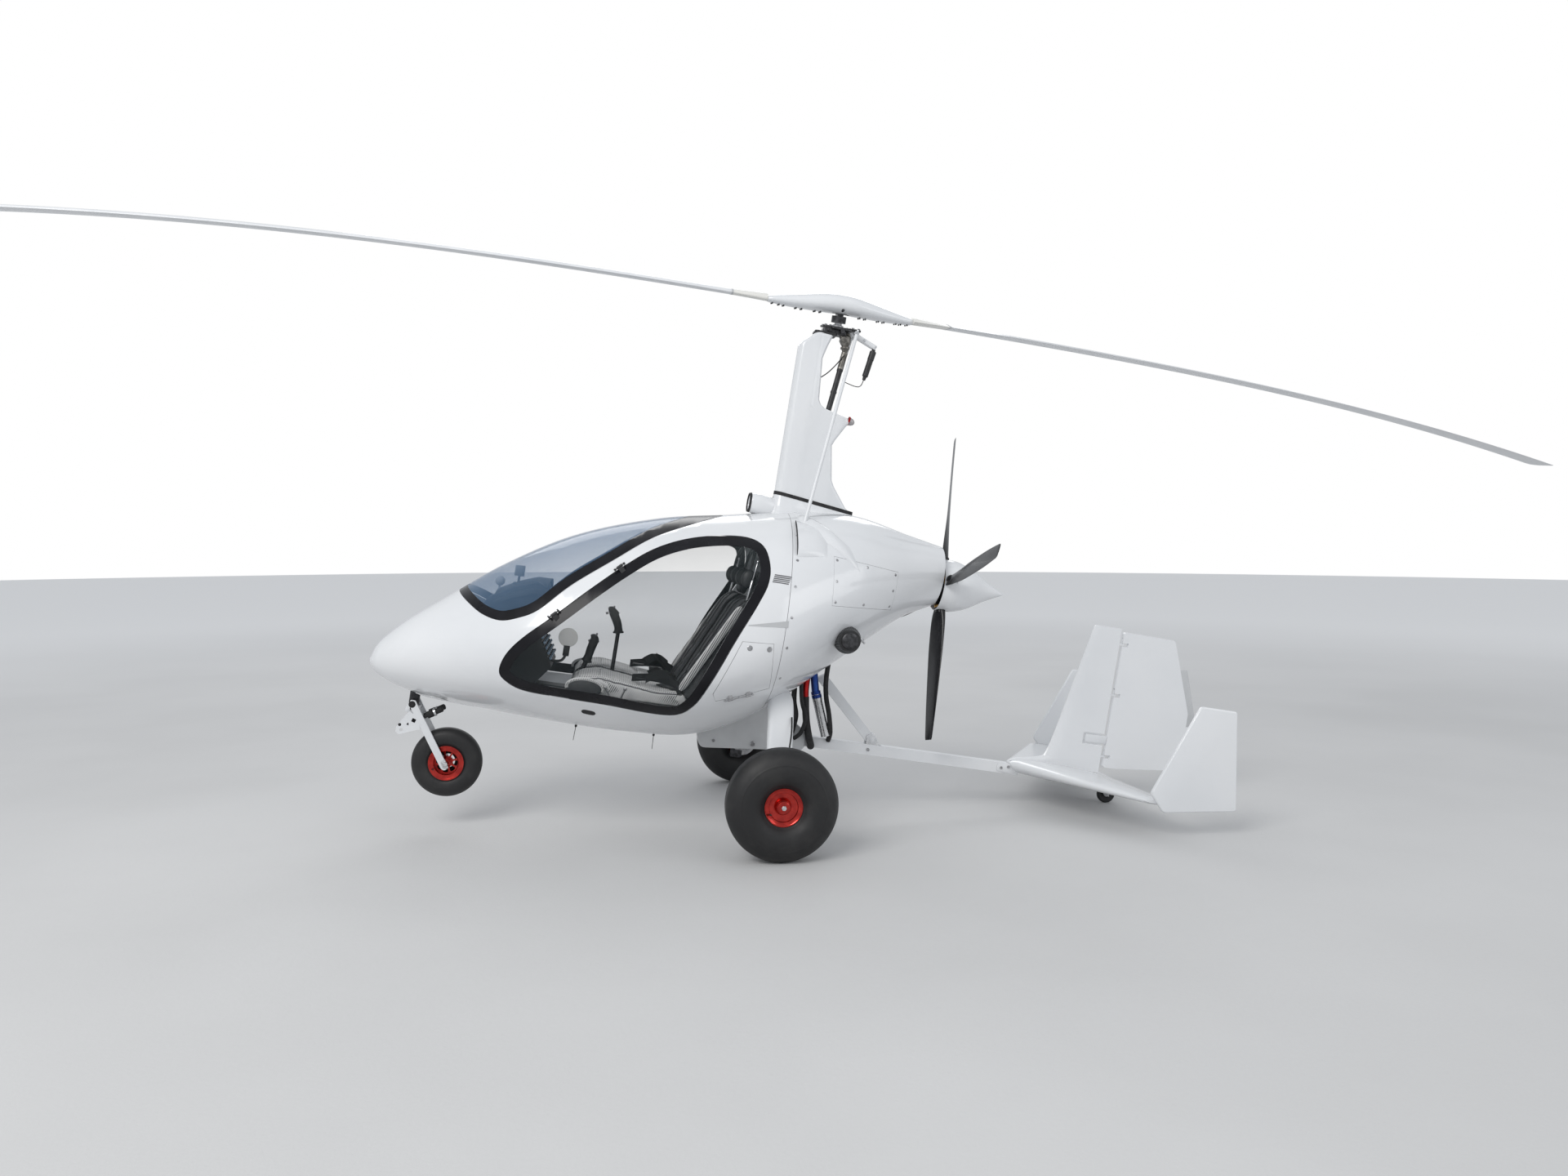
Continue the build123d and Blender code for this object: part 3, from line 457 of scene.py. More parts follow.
class Form:
    """Collects closed forms, drawn keel level in metres, and makes one piece of them."""

    def __init__(self):
        self.verts = []
        self.faces = []

    def add(self, verts, faces, place=None):
        base = len(self.verts)
        self.verts += [place @ Vector(v) if place else Vector(v) for v in verts]
        self.faces += [[base + i for i in face] for face in faces]
        return self

    def grid(self, rows, wrap=True, wrap_rows=False, caps=False, place=None):
        count = len(rows[0])
        faces = []
        for k in range(len(rows) if wrap_rows else len(rows) - 1):
            a = k * count
            b = (k + 1) % len(rows) * count
            for i in range(count if wrap else count - 1):
                j = (i + 1) % count
                faces.append((a + i, a + j, b + j, b + i))
        if caps:
            faces.append(tuple(range(count))[::-1])
            faces.append(tuple(range((len(rows) - 1) * count, len(rows) * count)))
        return self.add([p for row in rows for p in row], faces, place)

    def lathe(self, profile, place=None, count=40, closed=False):
        """A profile of (radius, z) turned about the local z axis."""
        rows = [[(r * math.cos(a), r * math.sin(a), z) for r, z in profile] for a in turns(count)]
        return self.grid(rows, wrap=closed, wrap_rows=True, place=place)

    def rod(self, start, end, radius, edge=0.001, count=24):
        """A round bar with chamfered ends; six sides make a hexagon."""
        start, end = Vector(start), Vector(end)
        long = (end - start).length
        edge = min(edge, radius / 2, long / 3)
        profile = [(0, 0), (radius - edge, 0), (radius, edge), (radius, long - edge), (radius - edge, long),
                   (0, long)]
        return self.lathe(profile, aimed(start, end), count)

    def tube(self, points, radius, count=12, per=8):
        """A round bar along a smooth path; radius is one number or one for each given point."""
        path = smooth_path(points, per)
        sizes = radius if isinstance(radius, (list, tuple)) else [radius] * len(points)
        side = None
        rows = []
        for k, point in enumerate(path):
            ahead = path[min(k + 1, len(path) - 1)] - path[max(k - 1, 0)]
            ahead.normalize()
            side = ahead.orthogonal() if side is None else side - ahead * side.dot(ahead)
            side.normalize()
            other = ahead.cross(side)
            at = k / per
            i = min(int(at), len(sizes) - 2)
            r = sizes[i] + (sizes[i + 1] - sizes[i]) * (at - i)
            rows.append([point + (side * math.cos(a) + other * math.sin(a)) * r for a in turns(count)])
        return self.grid(rows, caps=True)

    def prism(self, outline, y0, y1, place=None):
        """A side outline of (x, z) points between two values of y."""
        rows = [[(p[0], y, p[1]) for p in outline] for y in (y0, y1)]
        return self.grid(rows, caps=True, place=place)

    def plates(self, outline, inner, outer):
        """A side outline as one plate on each side of the middle plane."""
        for side in (-1, 1):
            self.prism(outline, *sorted((side * inner, side * outer)))
        return self

    def level(self, outline, z0, z1, place=None):
        """A plan outline of (x, y) points between two heights."""
        rows = [[(p[0], p[1], z) for p in outline] for z in (z0, z1)]
        return self.grid(rows, caps=True, place=place)

    def bar(self, start, end, wide, tall):
        """A straight bar of rectangular section, wide along y."""
        long = (Vector(end) - Vector(start)).length
        return self.level(rounded(-wide / 2, wide / 2, -tall / 2, tall / 2, min(wide, tall) / 6, 3), 0, long,
                          aimed(start, end))

    def block(self, low, high, place=None):
        x0, y0, z0 = low
        x1, y1, z1 = high
        return self.prism([(x0, z0), (x1, z0), (x1, z1), (x0, z1)], y0, y1, place)

    def raw(self, name, place=SET_DOWN, bevel=0.0, segments=2):
        mesh = bpy.data.meshes.new(name)
        mesh.from_pydata([tuple(v) for v in self.verts], [], self.faces)
        bm = bmesh.new()
        bm.from_mesh(mesh)
        bmesh.ops.remove_doubles(bm, verts=bm.verts, dist=1e-6)
        bmesh.ops.recalc_face_normals(bm, faces=bm.faces)
        if bevel:
            edges = [e for e in bm.edges
                     if len(e.link_faces) == 2 and e.calc_face_angle(0) > math.radians(30)]
            bmesh.ops.bevel(bm, geom=edges, offset=bevel, segments=segments, profile=0.5,
                            affect="EDGES", clamp_overlap=True)
        bm.transform(place)
        bm.to_mesh(mesh)
        bm.free()
        piece = bpy.data.objects.new(name, mesh)
        bpy.context.scene.collection.objects.link(piece)
        return piece

    def piece(self, name, body, finish, place=SET_DOWN, bevel=0.0, segments=2, angle=35):
        return dress(self.raw(name, place, bevel, segments), body, finish, angle)


def dress(piece, body, finish, angle=35):
    piece.data.materials.clear()
    piece.data.materials.append(FINISHES[finish])
    piece.data.shade_smooth()
    piece.data.set_sharp_from_angle(angle=math.radians(angle))
    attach(piece, body)
    return piece


def aimed(start, end):
    """Places local z along the line from start to end, its origin at start."""
    turn = (Vector(end) - Vector(start)).to_track_quat("Z", "Y")
    return Matrix.Translation(start) @ turn.to_matrix().to_4x4()


def baked(piece):
    """Applies the piece's modifiers."""
    graph = bpy.context.evaluated_depsgraph_get()
    mesh = bpy.data.meshes.new_from_object(piece.evaluated_get(graph))
    piece.modifiers.clear()
    piece.data = mesh


def cut(piece, operation, *tools):
    for tool in tools:
        step = piece.modifiers.new("cut", "BOOLEAN")
        step.operation = operation
        step.solver = "EXACT"
        step.object = tool
    baked(piece)
    for tool in tools:
        bpy.data.objects.remove(tool)
    return piece


def copied(piece, name):
    twin = bpy.data.objects.new(name, piece.data.copy())
    bpy.context.scene.collection.objects.link(twin)
    return twin


def mirror_of(piece, name):
    twin = copied(piece, name)
    twin.data.transform(Matrix.Scale(-1, 4, (0, 1, 0)))
    twin.data.flip_normals()
    return twin


def station(x):
    """Bottom, top, half width and widest height at x, on a smooth curve through the stations."""
    k = max(i for i in range(len(HULL) - 1) if HULL[i][0] <= x or i == 0)

    def slope(i, column):
        before, after = HULL[max(i - 1, 0)], HULL[min(i + 1, len(HULL) - 1)]
        return (after[column] - before[column]) / (after[0] - before[0])

    gap = HULL[k + 1][0] - HULL[k][0]
    t = (x - HULL[k][0]) / gap
    out = []
    for column in range(1, 5):
        a, b = HULL[k][column], HULL[k + 1][column]
        out.append(a * (2 * t**3 - 3 * t**2 + 1) + slope(k, column) * gap * (t**3 - 2 * t**2 + t)
                   + b * (3 * t**2 - 2 * t**3) + slope(k + 1, column) * gap * (t**3 - t**2))
    return out


def arcs(low, high, wide, mid):
    """The section's measures: side radius, core half width, and each cap's radius, centre and angle."""
    side = 0.8 * min(high - mid, mid - low, wide)
    core = wide - side
    caps = []
    for reach in (high - mid, mid - low):
        radius = (core**2 + reach**2 - side**2) / (2 * (reach - side))
        caps.append((radius, reach - radius, math.atan2(core, radius - reach)))
    return side, core, caps


def hull_ring(x, inset=0.0, floor=0.0, swell=1.0):
    """One section of the skin as a closed ring, from the top down port and back up starboard."""
    low, high, wide, mid = station(min(x, HULL[-1][0]))
    low, high, wide = max(low + inset, floor), high - inset, wide - inset
    side, core, caps = arcs(low, high, wide, mid)
    (top_r, top_z, top_a), (base_r, base_z, base_a) = caps
    half = []
    for k in range(14):
        a = top_a * k / 14
        half.append((top_r * math.sin(a), mid + top_z + top_r * math.cos(a)))
    for k in range(20):
        a = top_a + (math.pi - top_a - base_a) * k / 20
        half.append((core + side * math.sin(a), mid + side * math.cos(a)))
    for k in range(15):
        a = math.pi - base_a + base_a * k / 14
        half.append((base_r * math.sin(a), mid - base_z + base_r * math.cos(a)))
    ring = half + [(-y, z) for y, z in half[-2:0:-1]]
    return [(x, y * swell, mid + (z - mid) * swell) for y, z in ring]


def hull_half(x, z):
    """Half width of the skin at x and height z."""
    low, high, wide, mid = station(x)
    side, core, caps = arcs(low, high, wide, mid)
    radius, centre, angle = caps[0] if z > mid else caps[1]
    rise = abs(z - mid)
    if rise < side * math.cos(angle):
        return core + math.sqrt(side**2 - rise**2)
    return math.sqrt(max(radius**2 - (rise - centre) ** 2, 0))


def skin(x, z):
    """Point on the port skin at (x, z), and its normal there."""
    y = hull_half(x, z)
    step = 0.004
    dx = (hull_half(x + step, z) - hull_half(x - step, z)) / (2 * step)
    dz = (hull_half(x, z + step) - hull_half(x, z - step)) / (2 * step)
    normal = Vector((-dx, 1.0, -dz)).normalized()
    return Vector((x, y, z)), normal


def hull_tube(x0, x1, count, inset):
    """A length of the hull's wall: outer and inner skin joined at both ends."""
    xs = spaced(x0, x1, count)
    rows = [hull_ring(x) for x in xs] + [hull_ring(x, inset) for x in reversed(xs)]
    return Form().grid(rows, wrap_rows=True)


def prism_tool(outline, y0, y1):
    return Form().prism(outline, y0, y1).raw("tool")


def skin_pair(part, name, finish, node, bodies=("airframe", "airframe")):
    """Dresses a port part of the skin and its mirror image, each in its solid's place."""
    twin = mirror_of(part, name + "_right")
    for piece, body, label in ((part, bodies[0], "_left"), (twin, bodies[1], "_right")):
        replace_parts(dress(piece, body, finish), node + label)


def make_hull():
    door = smooth_path(DOOR, 5, True)
    screen_low = smooth_path(SCREEN_EDGE, 5)
    around = [Vector((0.836, 1.70)), Vector((2.50, 1.70)), Vector((2.50, 0.945))]

    # Cabin: nose, roof strip, sills and floor, one wall with the openings cut out
    nose = [(2.4425, 0.35), (2.4415, 0.65), (2.4400, 0.87)]
    xs = spaced(2.438, 2.30, 20) + spaced(2.288, SEAM_X + 0.001, 84)
    outer = [hull_ring(x, swell=s) for x, s in nose] + [hull_ring(x) for x in xs]
    outer.insert(0, [(2.443, 0, 0.536)] * RING_POINTS)
    inner = [hull_ring(x, WALL, FLOOR_Z) for x in reversed(xs) if x < 2.36]
    inner.append([(2.358, 0, 0.56)] * RING_POINTS)
    cabin = Form().grid(outer + inner).raw("cabin_skin")
    tools = [prism_tool(screen_low + around, -1, 1)]
    for sign in (1, -1):
        tools.append(prism_tool(shrunk(door, -DOOR_GAP), *(sign * y for y in DOOR_REACH)))
        tools.append(prism_tool(shrunk(HATCH, -0.002), *(sign * y for y in HATCH_REACH)))
    cut(cabin, "DIFFERENCE", *tools)
    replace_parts(dress(cabin, "airframe", "white_gel"), "cabin_shell")

    # Windshield: black band under the edge, clear plastic inside it, coloured blue as a painted reflection of
    # sky
    moved = []
    for k, p in enumerate(screen_low):
        run = screen_low[min(k + 1, len(screen_low) - 1)] - screen_low[max(k - 1, 0)]
        run.normalize()
        moved.append(p + Vector((run.y, -run.x)) * 0.044)
    wide = hull_tube(0.80, 2.20, 70, PANE).raw("screen_band")
    clear = copied(wide, "screen_clear")
    outline = shrunk(screen_low + around, 0.002)
    inside = moved + [Vector((0.872, 1.70)), Vector((2.60, 1.70)), Vector((2.60, moved[0].y))]
    cut(cut(wide, "INTERSECT", prism_tool(outline, -1, 1)), "DIFFERENCE", prism_tool(inside, -1.1, 1.1))
    cut(clear, "INTERSECT", prism_tool(inside, -1, 1))
    dress(wide, "airframe", "frit")
    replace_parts(dress(clear, "airframe", "screen_glass"), "windshield")

    # Doors: a black band that carries the clear pane
    pane_edge = shrunk(door, 0.046)
    frame_wall = hull_tube(0.594, 1.811, 74, 0.013).raw("door_band_left")
    pane_wall = hull_tube(0.594, 1.811, 74, PANE).raw("door_pane_left")
    cut(cut(frame_wall, "INTERSECT", prism_tool(door, *DOOR_REACH)), "DIFFERENCE",
        prism_tool(pane_edge, 0.2, 1.0))
    cut(pane_wall, "INTERSECT", prism_tool(pane_edge, *DOOR_REACH))
    skin_pair(frame_wall, "door_band", "frit", "door", ("door_left", "door_right"))
    skin_pair(pane_wall, "door_pane", "door_glass", "door_glass", ("door_left", "door_right"))

    # Hatches low on each side
    hatch = hull_tube(0.50, 0.85, 30, WALL).raw("hatch_skin_left")
    cut(hatch, "INTERSECT", prism_tool(HATCH, *HATCH_REACH))
    skin_pair(hatch, "hatch_skin", "white_gel", "hatch", ("hatch_left", "hatch_right"))

    # Engine cowl and its screwed panels
    xs = spaced(SEAM_X - 0.001, -0.340, 60)
    rows = [hull_ring(x) for x in xs] + [[(-0.340, 0, 1.388)] * RING_POINTS]
    inner = [[(-0.332, 0, 1.388)] * RING_POINTS]
    inner += [hull_ring(x, COWL_WALL) for x in reversed(xs) if x > -0.332]
    cowl = Form().grid(inner + rows).raw("cowl_skin")
    hole = Form().lathe([(0, 0), (0.048, 0), (0.048, 0.2), (0, 0.2)],
                        aimed((-0.42, 0, 1.345), (-0.2, 0, 1.345)))
    tools = [hole.raw("tool")]
    for sign in (1, -1):
        tools.append(prism_tool(shrunk(COWL_PANEL, -0.0012), *(sign * y for y in PANEL_REACH)))
    cut(cowl, "DIFFERENCE", *tools)
    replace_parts(dress(cowl, "airframe", "white_gel"), "engine_cowl")
    panel = hull_tube(-0.10, 0.34, 36, COWL_WALL).raw("cowl_panel_skin_left")
    cut(panel, "INTERSECT", prism_tool(COWL_PANEL, *PANEL_REACH))
    skin_pair(panel, "cowl_panel_skin", "white_gel", "cowl_panel")


def between(table, at):
    """The value at a place in a table of (place, value) pairs, on straight lines."""
    if at <= table[0][0]:
        return table[0][1]
    for (a, u), (b, v) in zip(table, table[1:]):
        if at <= b:
            return u + (v - u) * (at - a) / (b - a)
    return table[-1][1]


def rounded(x0, x1, y0, y1, radius, count=5):
    """A rectangle's outline with round corners."""
    out = []
    for x, y, start in ((x1 - radius, y1 - radius, 0), (x0 + radius, y1 - radius, 90),
                        (x0 + radius, y0 + radius, 180), (x1 - radius, y0 + radius, 270)):
        for k in range(count):
            a = math.radians(start + 90 * k / (count - 1))
            out.append((x + radius * math.cos(a), y + radius * math.sin(a)))
    return out


def softened(outline, radius, count=5):
    """An outline of (x, z) points with each corner rounded."""
    out = []
    for k, corner in enumerate(outline):
        corner = Vector(corner)
        arms = [Vector(outline[k - 1]) - corner, Vector(outline[(k + 1) % len(outline)]) - corner]
        reach = min(radius, 0.45 * arms[0].length, 0.45 * arms[1].length)
        a, b = (corner + arm.normalized() * reach for arm in arms)
        for i in range(count):
            t = i / (count - 1)
            out.append(tuple(a * (1 - t) ** 2 + corner * 2 * t * (1 - t) + b * t**2))
    return out


def oval(x, y, z, wide, tall, power=2.0, count=40):
    """A ring of constant x: an ellipse for power 2, squarer above it."""
    ring = []
    for a in turns(count):
        c, s = math.cos(a), math.sin(a)
        ring.append((x, y + wide * math.copysign(abs(c) ** (2 / power), c),
                     z + tall * math.copysign(abs(s) ** (2 / power), s)))
    return ring


def mast_half(x):
    if x > 0.470:
        return min(math.sqrt(max(0.0705**2 - (x - 0.5175) ** 2, 0)), 0.055)
    return 0.010 + (x - 0.150) * 0.131


def mast_ring(level, tilt=0.0, out=0.0, back=None):
    """The mast fairing's outline at a level, from its nose along port to the back and round."""
    back = (between(MAST_BACK, level) if back is None else back) - out
    front = between(MAST_FRONT, level) + out
    side = []
    for share in eased(24):
        x = front - (front - back) * share
        half = mast_half(x) + out
        for edge, radius in ((x - back, 0.014), (front - x, 0.020)):
            if edge < radius:
                half -= radius - math.sqrt(max(radius**2 - (radius - edge) ** 2, 0))
        side.append((x, max(half, 0.0), level + tilt * (x - 0.584)))
    return side + [(x, -y, z) for x, y, z in side[::-1]]


def make_mast():
    levels = (spaced(1.54, 1.66, 7) + spaced(1.70, 2.03, 12) + spaced(2.05, 2.20, 22) + spaced(2.23, 2.40, 8)
              + spaced(2.42, 2.50, 9) + [2.515, 2.523, 2.528])
    rows = [mast_ring(z, out=-0.003 if z > 2.527 else 0.0) for z in levels]
    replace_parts(Form().grid(rows, caps=True).piece("mast_skin", "airframe", "white_gel", angle=50),
                "mast_fairing")
    roof_slope = 0.0995
    strip = [mast_ring(z, roof_slope, out, 0.162) for z, out in (
        (1.690, -0.002), (1.690, 0.0035), (1.672, 0.0035), (1.672, -0.002))]
    Form().grid(strip, wrap_rows=True).piece("mast_foot_strip", "airframe", "soft_black")
    foot = [mast_ring(z, roof_slope, out, 0.150) for z, out in (
        (1.672, -0.004), (1.672, 0.002), (1.645, 0.006), (1.615, 0.014), (1.59, 0.028), (1.57, 0.045),
        (1.54, 0.045), (1.54, -0.004))]
    Form().grid(foot, wrap_rows=True).piece("mast_foot", "airframe", "white_gel", angle=50)

    # Air intake at the mast's foot, its mouth to the front
    outer = [oval(x, 0, z, wide, tall, 2.5) for x, z, wide, tall in (
        (0.560, 1.600, 0.050, 0.045), (0.600, 1.602, 0.062, 0.054), (0.650, 1.606, 0.069, 0.056),
        (0.690, 1.609, 0.069, 0.052), (0.703, 1.610, 0.066, 0.049))]
    inner = [oval(x, 0, z, wide, tall, 2.5) for x, z, wide, tall in (
        (0.706, 1.610, 0.061, 0.044), (0.700, 1.610, 0.057, 0.040), (0.640, 1.606, 0.050, 0.036))]
    Form().grid(outer + inner, caps=True).piece("roof_intake", "airframe", "white_gel", angle=50)
    lip = [oval(x, 0, 1.610, wide, tall, 2.5) for x, wide, tall in (
        (0.700, 0.0685, 0.0515), (0.7095, 0.0660, 0.0490), (0.7105, 0.0610, 0.0440),
        (0.704, 0.0570, 0.0400))]
    Form().grid(lip, wrap_rows=True).piece("intake_lip", "airframe", "soft_black", angle=50)
    # A black disc inside the intake: painted shade of the duct behind its mouth.
    Form().grid([oval(0.652, 0, 1.6065, 0.0515, 0.037, 2.5), oval(0.656, 0, 1.6067, 0.052, 0.0375, 2.5)],
                caps=True).piece("intake_shade_disc", "airframe", "soft_black")

    # Strobe on the fairing's shelf
    place = aimed((0.258, 0, 2.112), (0.222, 0, 2.104))
    lens = Form().lathe([(0, 0), (0.021, 0), (0.0215, 0.006), (0.019, 0.018), (0.013, 0.028), (0.006, 0.033),
                         (0, 0.034)], place, 32)
    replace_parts(lens.piece("strobe_lens", "airframe", "amber_lens"), "strobe_light")
    ring = Form().lathe([(0.0205, -0.004), (0.0235, -0.004), (0.0240, 0.004), (0.0205, 0.006)],
                        place, 32, closed=True)
    ring.piece("strobe_ring", "airframe", "red_fitting")


def make_head():
    lean = (SET_DOWN @ Matrix.Translation(HUB)
            @ Matrix.Rotation(ROLL, 4, "X") @ Matrix.Rotation(LEAN, 4, "Y"))
    cap = Form().level(rounded(0.395, 0.512, -0.050, 0.050, 0.015), 2.526, 2.538)
    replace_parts(cap.piece("head_lower_plate", "airframe", "satin_black", bevel=0.002), "rotor_head")
    gimbal = Form().level(rounded(0.345, 0.470, -0.036, 0.036, 0.010), 2.536, 2.562)
    gimbal.level(rounded(0.320, 0.430, -0.052, 0.052, 0.010), 2.560, 2.568)
    gimbal.rod((0.372, -0.062, 2.552), (0.372, 0.062, 2.552), 0.011)
    gimbal.rod((0.440, -0.058, 2.546), (0.440, 0.058, 2.546), 0.008)
    gimbal.piece("head_gimbal", "airframe", "dark_metal", bevel=0.0015)
    top = Form().level(rounded(-0.118, 0.085, -0.058, 0.058, 0.018), -0.124, -0.113)
    top.level(rounded(-0.060, 0.030, -0.040, 0.040, 0.012), -0.136, -0.124)
    top.piece("head_upper_plate", "airframe", "satin_black", place=lean, bevel=0.002)
    spindle = Form().lathe([(0, -0.130), (0.030, -0.130), (0.030, -0.104), (0.0195, -0.101),
                            (0.0195, -0.064), (0, -0.064)], None, 40)
    spindle.piece("head_spindle", "airframe", "steel", place=lean)
    bolts = Form()
    for x in (-0.105, -0.075, 0.045, 0.070):
        for y in (-0.044, 0.044):
            bolts.lathe(BOLT, Matrix.Translation((x, y, -0.113)), 6)
    bolts.piece("head_bolts", "airframe", "steel", place=lean)

    # Gearbox and shaft of the pre-rotator
    gear = Form().lathe([(0, 0), (0.020, 0), (0.027, 0.008), (0.029, 0.022), (0.027, 0.046), (0.020, 0.056),
                         (0.018, 0.062), (0.024, 0.064), (0.024, 0.074), (0.018, 0.077), (0.013, 0.092),
                         (0, 0.092)], aimed((0.344, 0, 2.548), (0.333, 0, 2.450)), 36)
    gear.rod((0.352, -0.030, 2.520), (0.352, 0.030, 2.520), 0.017, 0.003)
    gear.block((0.325, -0.020, 2.528), (0.372, 0.020, 2.556))
    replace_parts(gear.piece("head_gearbox", "airframe", "cast_metal", bevel=0.001), "prerotator_shaft")
    sleeve = Form().rod((0.334, 0, 2.460), (0.3445, 0, 2.365), 0.0165, 0.004)
    sleeve.piece("prerotator_sleeve", "airframe", "cast_metal")
    top, foot = Vector((0.3435, 0, 2.372)), Vector((0.375, 0, 2.118))
    shaft = Form().rod(top, foot, 0.0145, 0.002)
    for t in (0.04, 0.5, 0.93):
        at = top.lerp(foot, t)
        shaft.lathe([(0.014, -0.005), (0.0165, -0.005), (0.0165, 0.005), (0.014, 0.005)],
                    aimed(at, (0.375, 0, 2.0)), 28, closed=True)
    shaft.piece("prerotator_tube", "airframe", "satin_black")

    # Torque bar, trim cylinder and the cables
    bar = Form().bar((0.352, 0, 2.575), (0.176, 0, 2.508), 0.034, 0.024)
    bar.piece("torque_bar", "airframe", "white_paint", bevel=0.003)
    pins = Form().rod((0.300, -0.072, 2.552), (0.300, 0.072, 2.552), 0.0065)
    pins.rod((0.246, -0.024, 2.534), (0.246, 0.024, 2.534), 0.006)
    pins.rod((0.180, -0.022, 2.511), (0.180, 0.022, 2.511), 0.005)
    for side in (-1, 1):
        pins.lathe([(0.006, -0.007), (0.013, -0.007), (0.013, 0.007), (0.006, 0.007)],
                   aimed((0.300, side * 0.064, 2.552), (0.300, side * 0.1, 2.552)), 24, closed=True)
    pins.piece("head_pins", "airframe", "silver")
    trim = Form().lathe([(0, 0), (0.008, 0), (0.010, 0.010), (0.017, 0.014), (0.017, 0.060), (0.0155, 0.062),
                         (0.0155, 0.148), (0.010, 0.154), (0.008, 0.170), (0, 0.172)],
                        aimed((0.184, 0, 2.503), (0.2125, 0, 2.334)), 28)
    trim.piece("trim_cylinder", "airframe", "satin_black")
    cable = Form().tube([(0.212, 0, 2.338), (0.228, 0.022, 2.300), (0.262, 0.062, 2.285),
                         (0.332, 0.116, 2.288)], 0.0022, 8)
    cable.tube([(0.338, 0.014, 2.440), (0.372, 0.022, 2.385), (0.410, 0.026, 2.335), (0.448, 0.026, 2.300)],
               0.0028, 8)
    cable.tube([(0.350, -0.010, 2.430), (0.362, -0.020, 2.250), (0.385, -0.026, 2.10)], 0.003, 8)
    cable.piece("head_cables", "airframe", "soft_black")
    ends = Form()
    for side in (-1, 1):
        ends.rod((0.2955, side * 0.0605, 2.572), (0.3045, side * 0.0720, 2.512), 0.0062)
    ends.piece("control_rod_ends", "airframe", "silver")


def foil_share(s):
    """Half thickness of a round-nosed section at a share of its chord, 1 at its thickest."""
    return 10 * (0.2969 * math.sqrt(s) - 0.126 * s - 0.3516 * s**2 + 0.2843 * s**3 - 0.1015 * s**4)


def blade_ring(x, shrink=1.0):
    wide = between(BLADE_WIDE, x) * shrink
    tall = between(BLADE_TALL, x) * shrink
    base = -0.026 - 0.187 * (x / 4.1) ** 3
    shares = eased(20)
    ring = [(x, (0.25 - s) * wide, base + 0.6 * tall * foil_share(s)) for s in shares]
    return ring + [(x, (0.25 - s) * wide, base - 0.4 * tall * foil_share(s)) for s in shares[-2:0:-1]]


def make_rotor():
    stations = smooth_path(HUB_BAR, 8)
    rows = [oval(p[0], 0, p[3], p[1], p[2], 2.15, 48) for p in stations]
    tips = [oval(x, 0, -0.028, 0.033, 0.014, 2.15, 48) for x in (-0.3855, 0.3855)]
    bar = Form().grid([tips[0]] + rows[1:-1] + [tips[1]], caps=True).raw("hub_bar_skin", ROTOR)
    pocket = Form().block((-0.045, -0.034, -0.09), (0.045, 0.034, -0.004)).raw("tool", ROTOR)
    hole = Form().rod((0, -0.12, -0.030), (0, 0.12, -0.030), 0.0083).raw("tool", ROTOR)
    cut(bar, "DIFFERENCE", pocket, hole)
    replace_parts(dress(bar, "rotor", "white_gel", 50), "rotor_hub_bar")
    bolts = Form()
    for x in (0.105, 0.135, 0.205, 0.235, 0.300, 0.325, 0.360):
        row = min(stations, key=lambda q: abs(q[0] - x))
        drop = row[3] - row[2] * math.sqrt(1 - (0.02 / row[1]) ** 2)
        for side in (-1, 1):
            for y in (-0.02, 0.02):
                bolts.lathe([(0, 0.010), (0.0042, 0.010), (0.0042, -0.006), (0.0030, -0.008), (0, -0.008)],
                            Matrix.Translation((side * x, y, drop)), 10)
    bolts.piece("hub_bolts", "rotor", "dark_metal", place=ROTOR)
    for label, turn in (("front", 0), ("rear", math.pi)):
        place = ROTOR @ Matrix.Rotation(turn, 4, "Z")
        root = Form().grid([blade_ring(x) for x in spaced(0.386, 0.570, 8)], caps=True)
        root.piece("blade_root_" + label, "rotor", "blade_paint", place=place, angle=50)
        xs = spaced(0.571, 4.245, 90)
        rows = [blade_ring(x) for x in xs] + [blade_ring(4.258, 0.93), blade_ring(4.265, 0.72)]
        wing = Form().grid(rows, caps=True)
        wing = wing.piece("blade_skin_" + label, "rotor", "white_paint", place=place, angle=50)
        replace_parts(wing, "rotor_blade_" + label)
        seal = Form().grid([blade_ring(0.566, 1.05), blade_ring(0.576, 1.05)], caps=True)
        seal.piece("blade_seal_" + label, "rotor", "belly_grey", place=place, angle=50)


def prop_ring(r, chord, thick, twist):
    a = math.radians(twist)
    ring = []
    shares = eased(14)
    for s, sign in [(s, 1) for s in shares] + [(s, -1) for s in shares[-2:0:-1]]:
        p = (s - 0.42) * chord
        q = sign * foil_share(s) * thick / 2
        ring.append((p * math.cos(a) - q * math.sin(a), p * math.sin(a) + q * math.cos(a), r))
    return ring


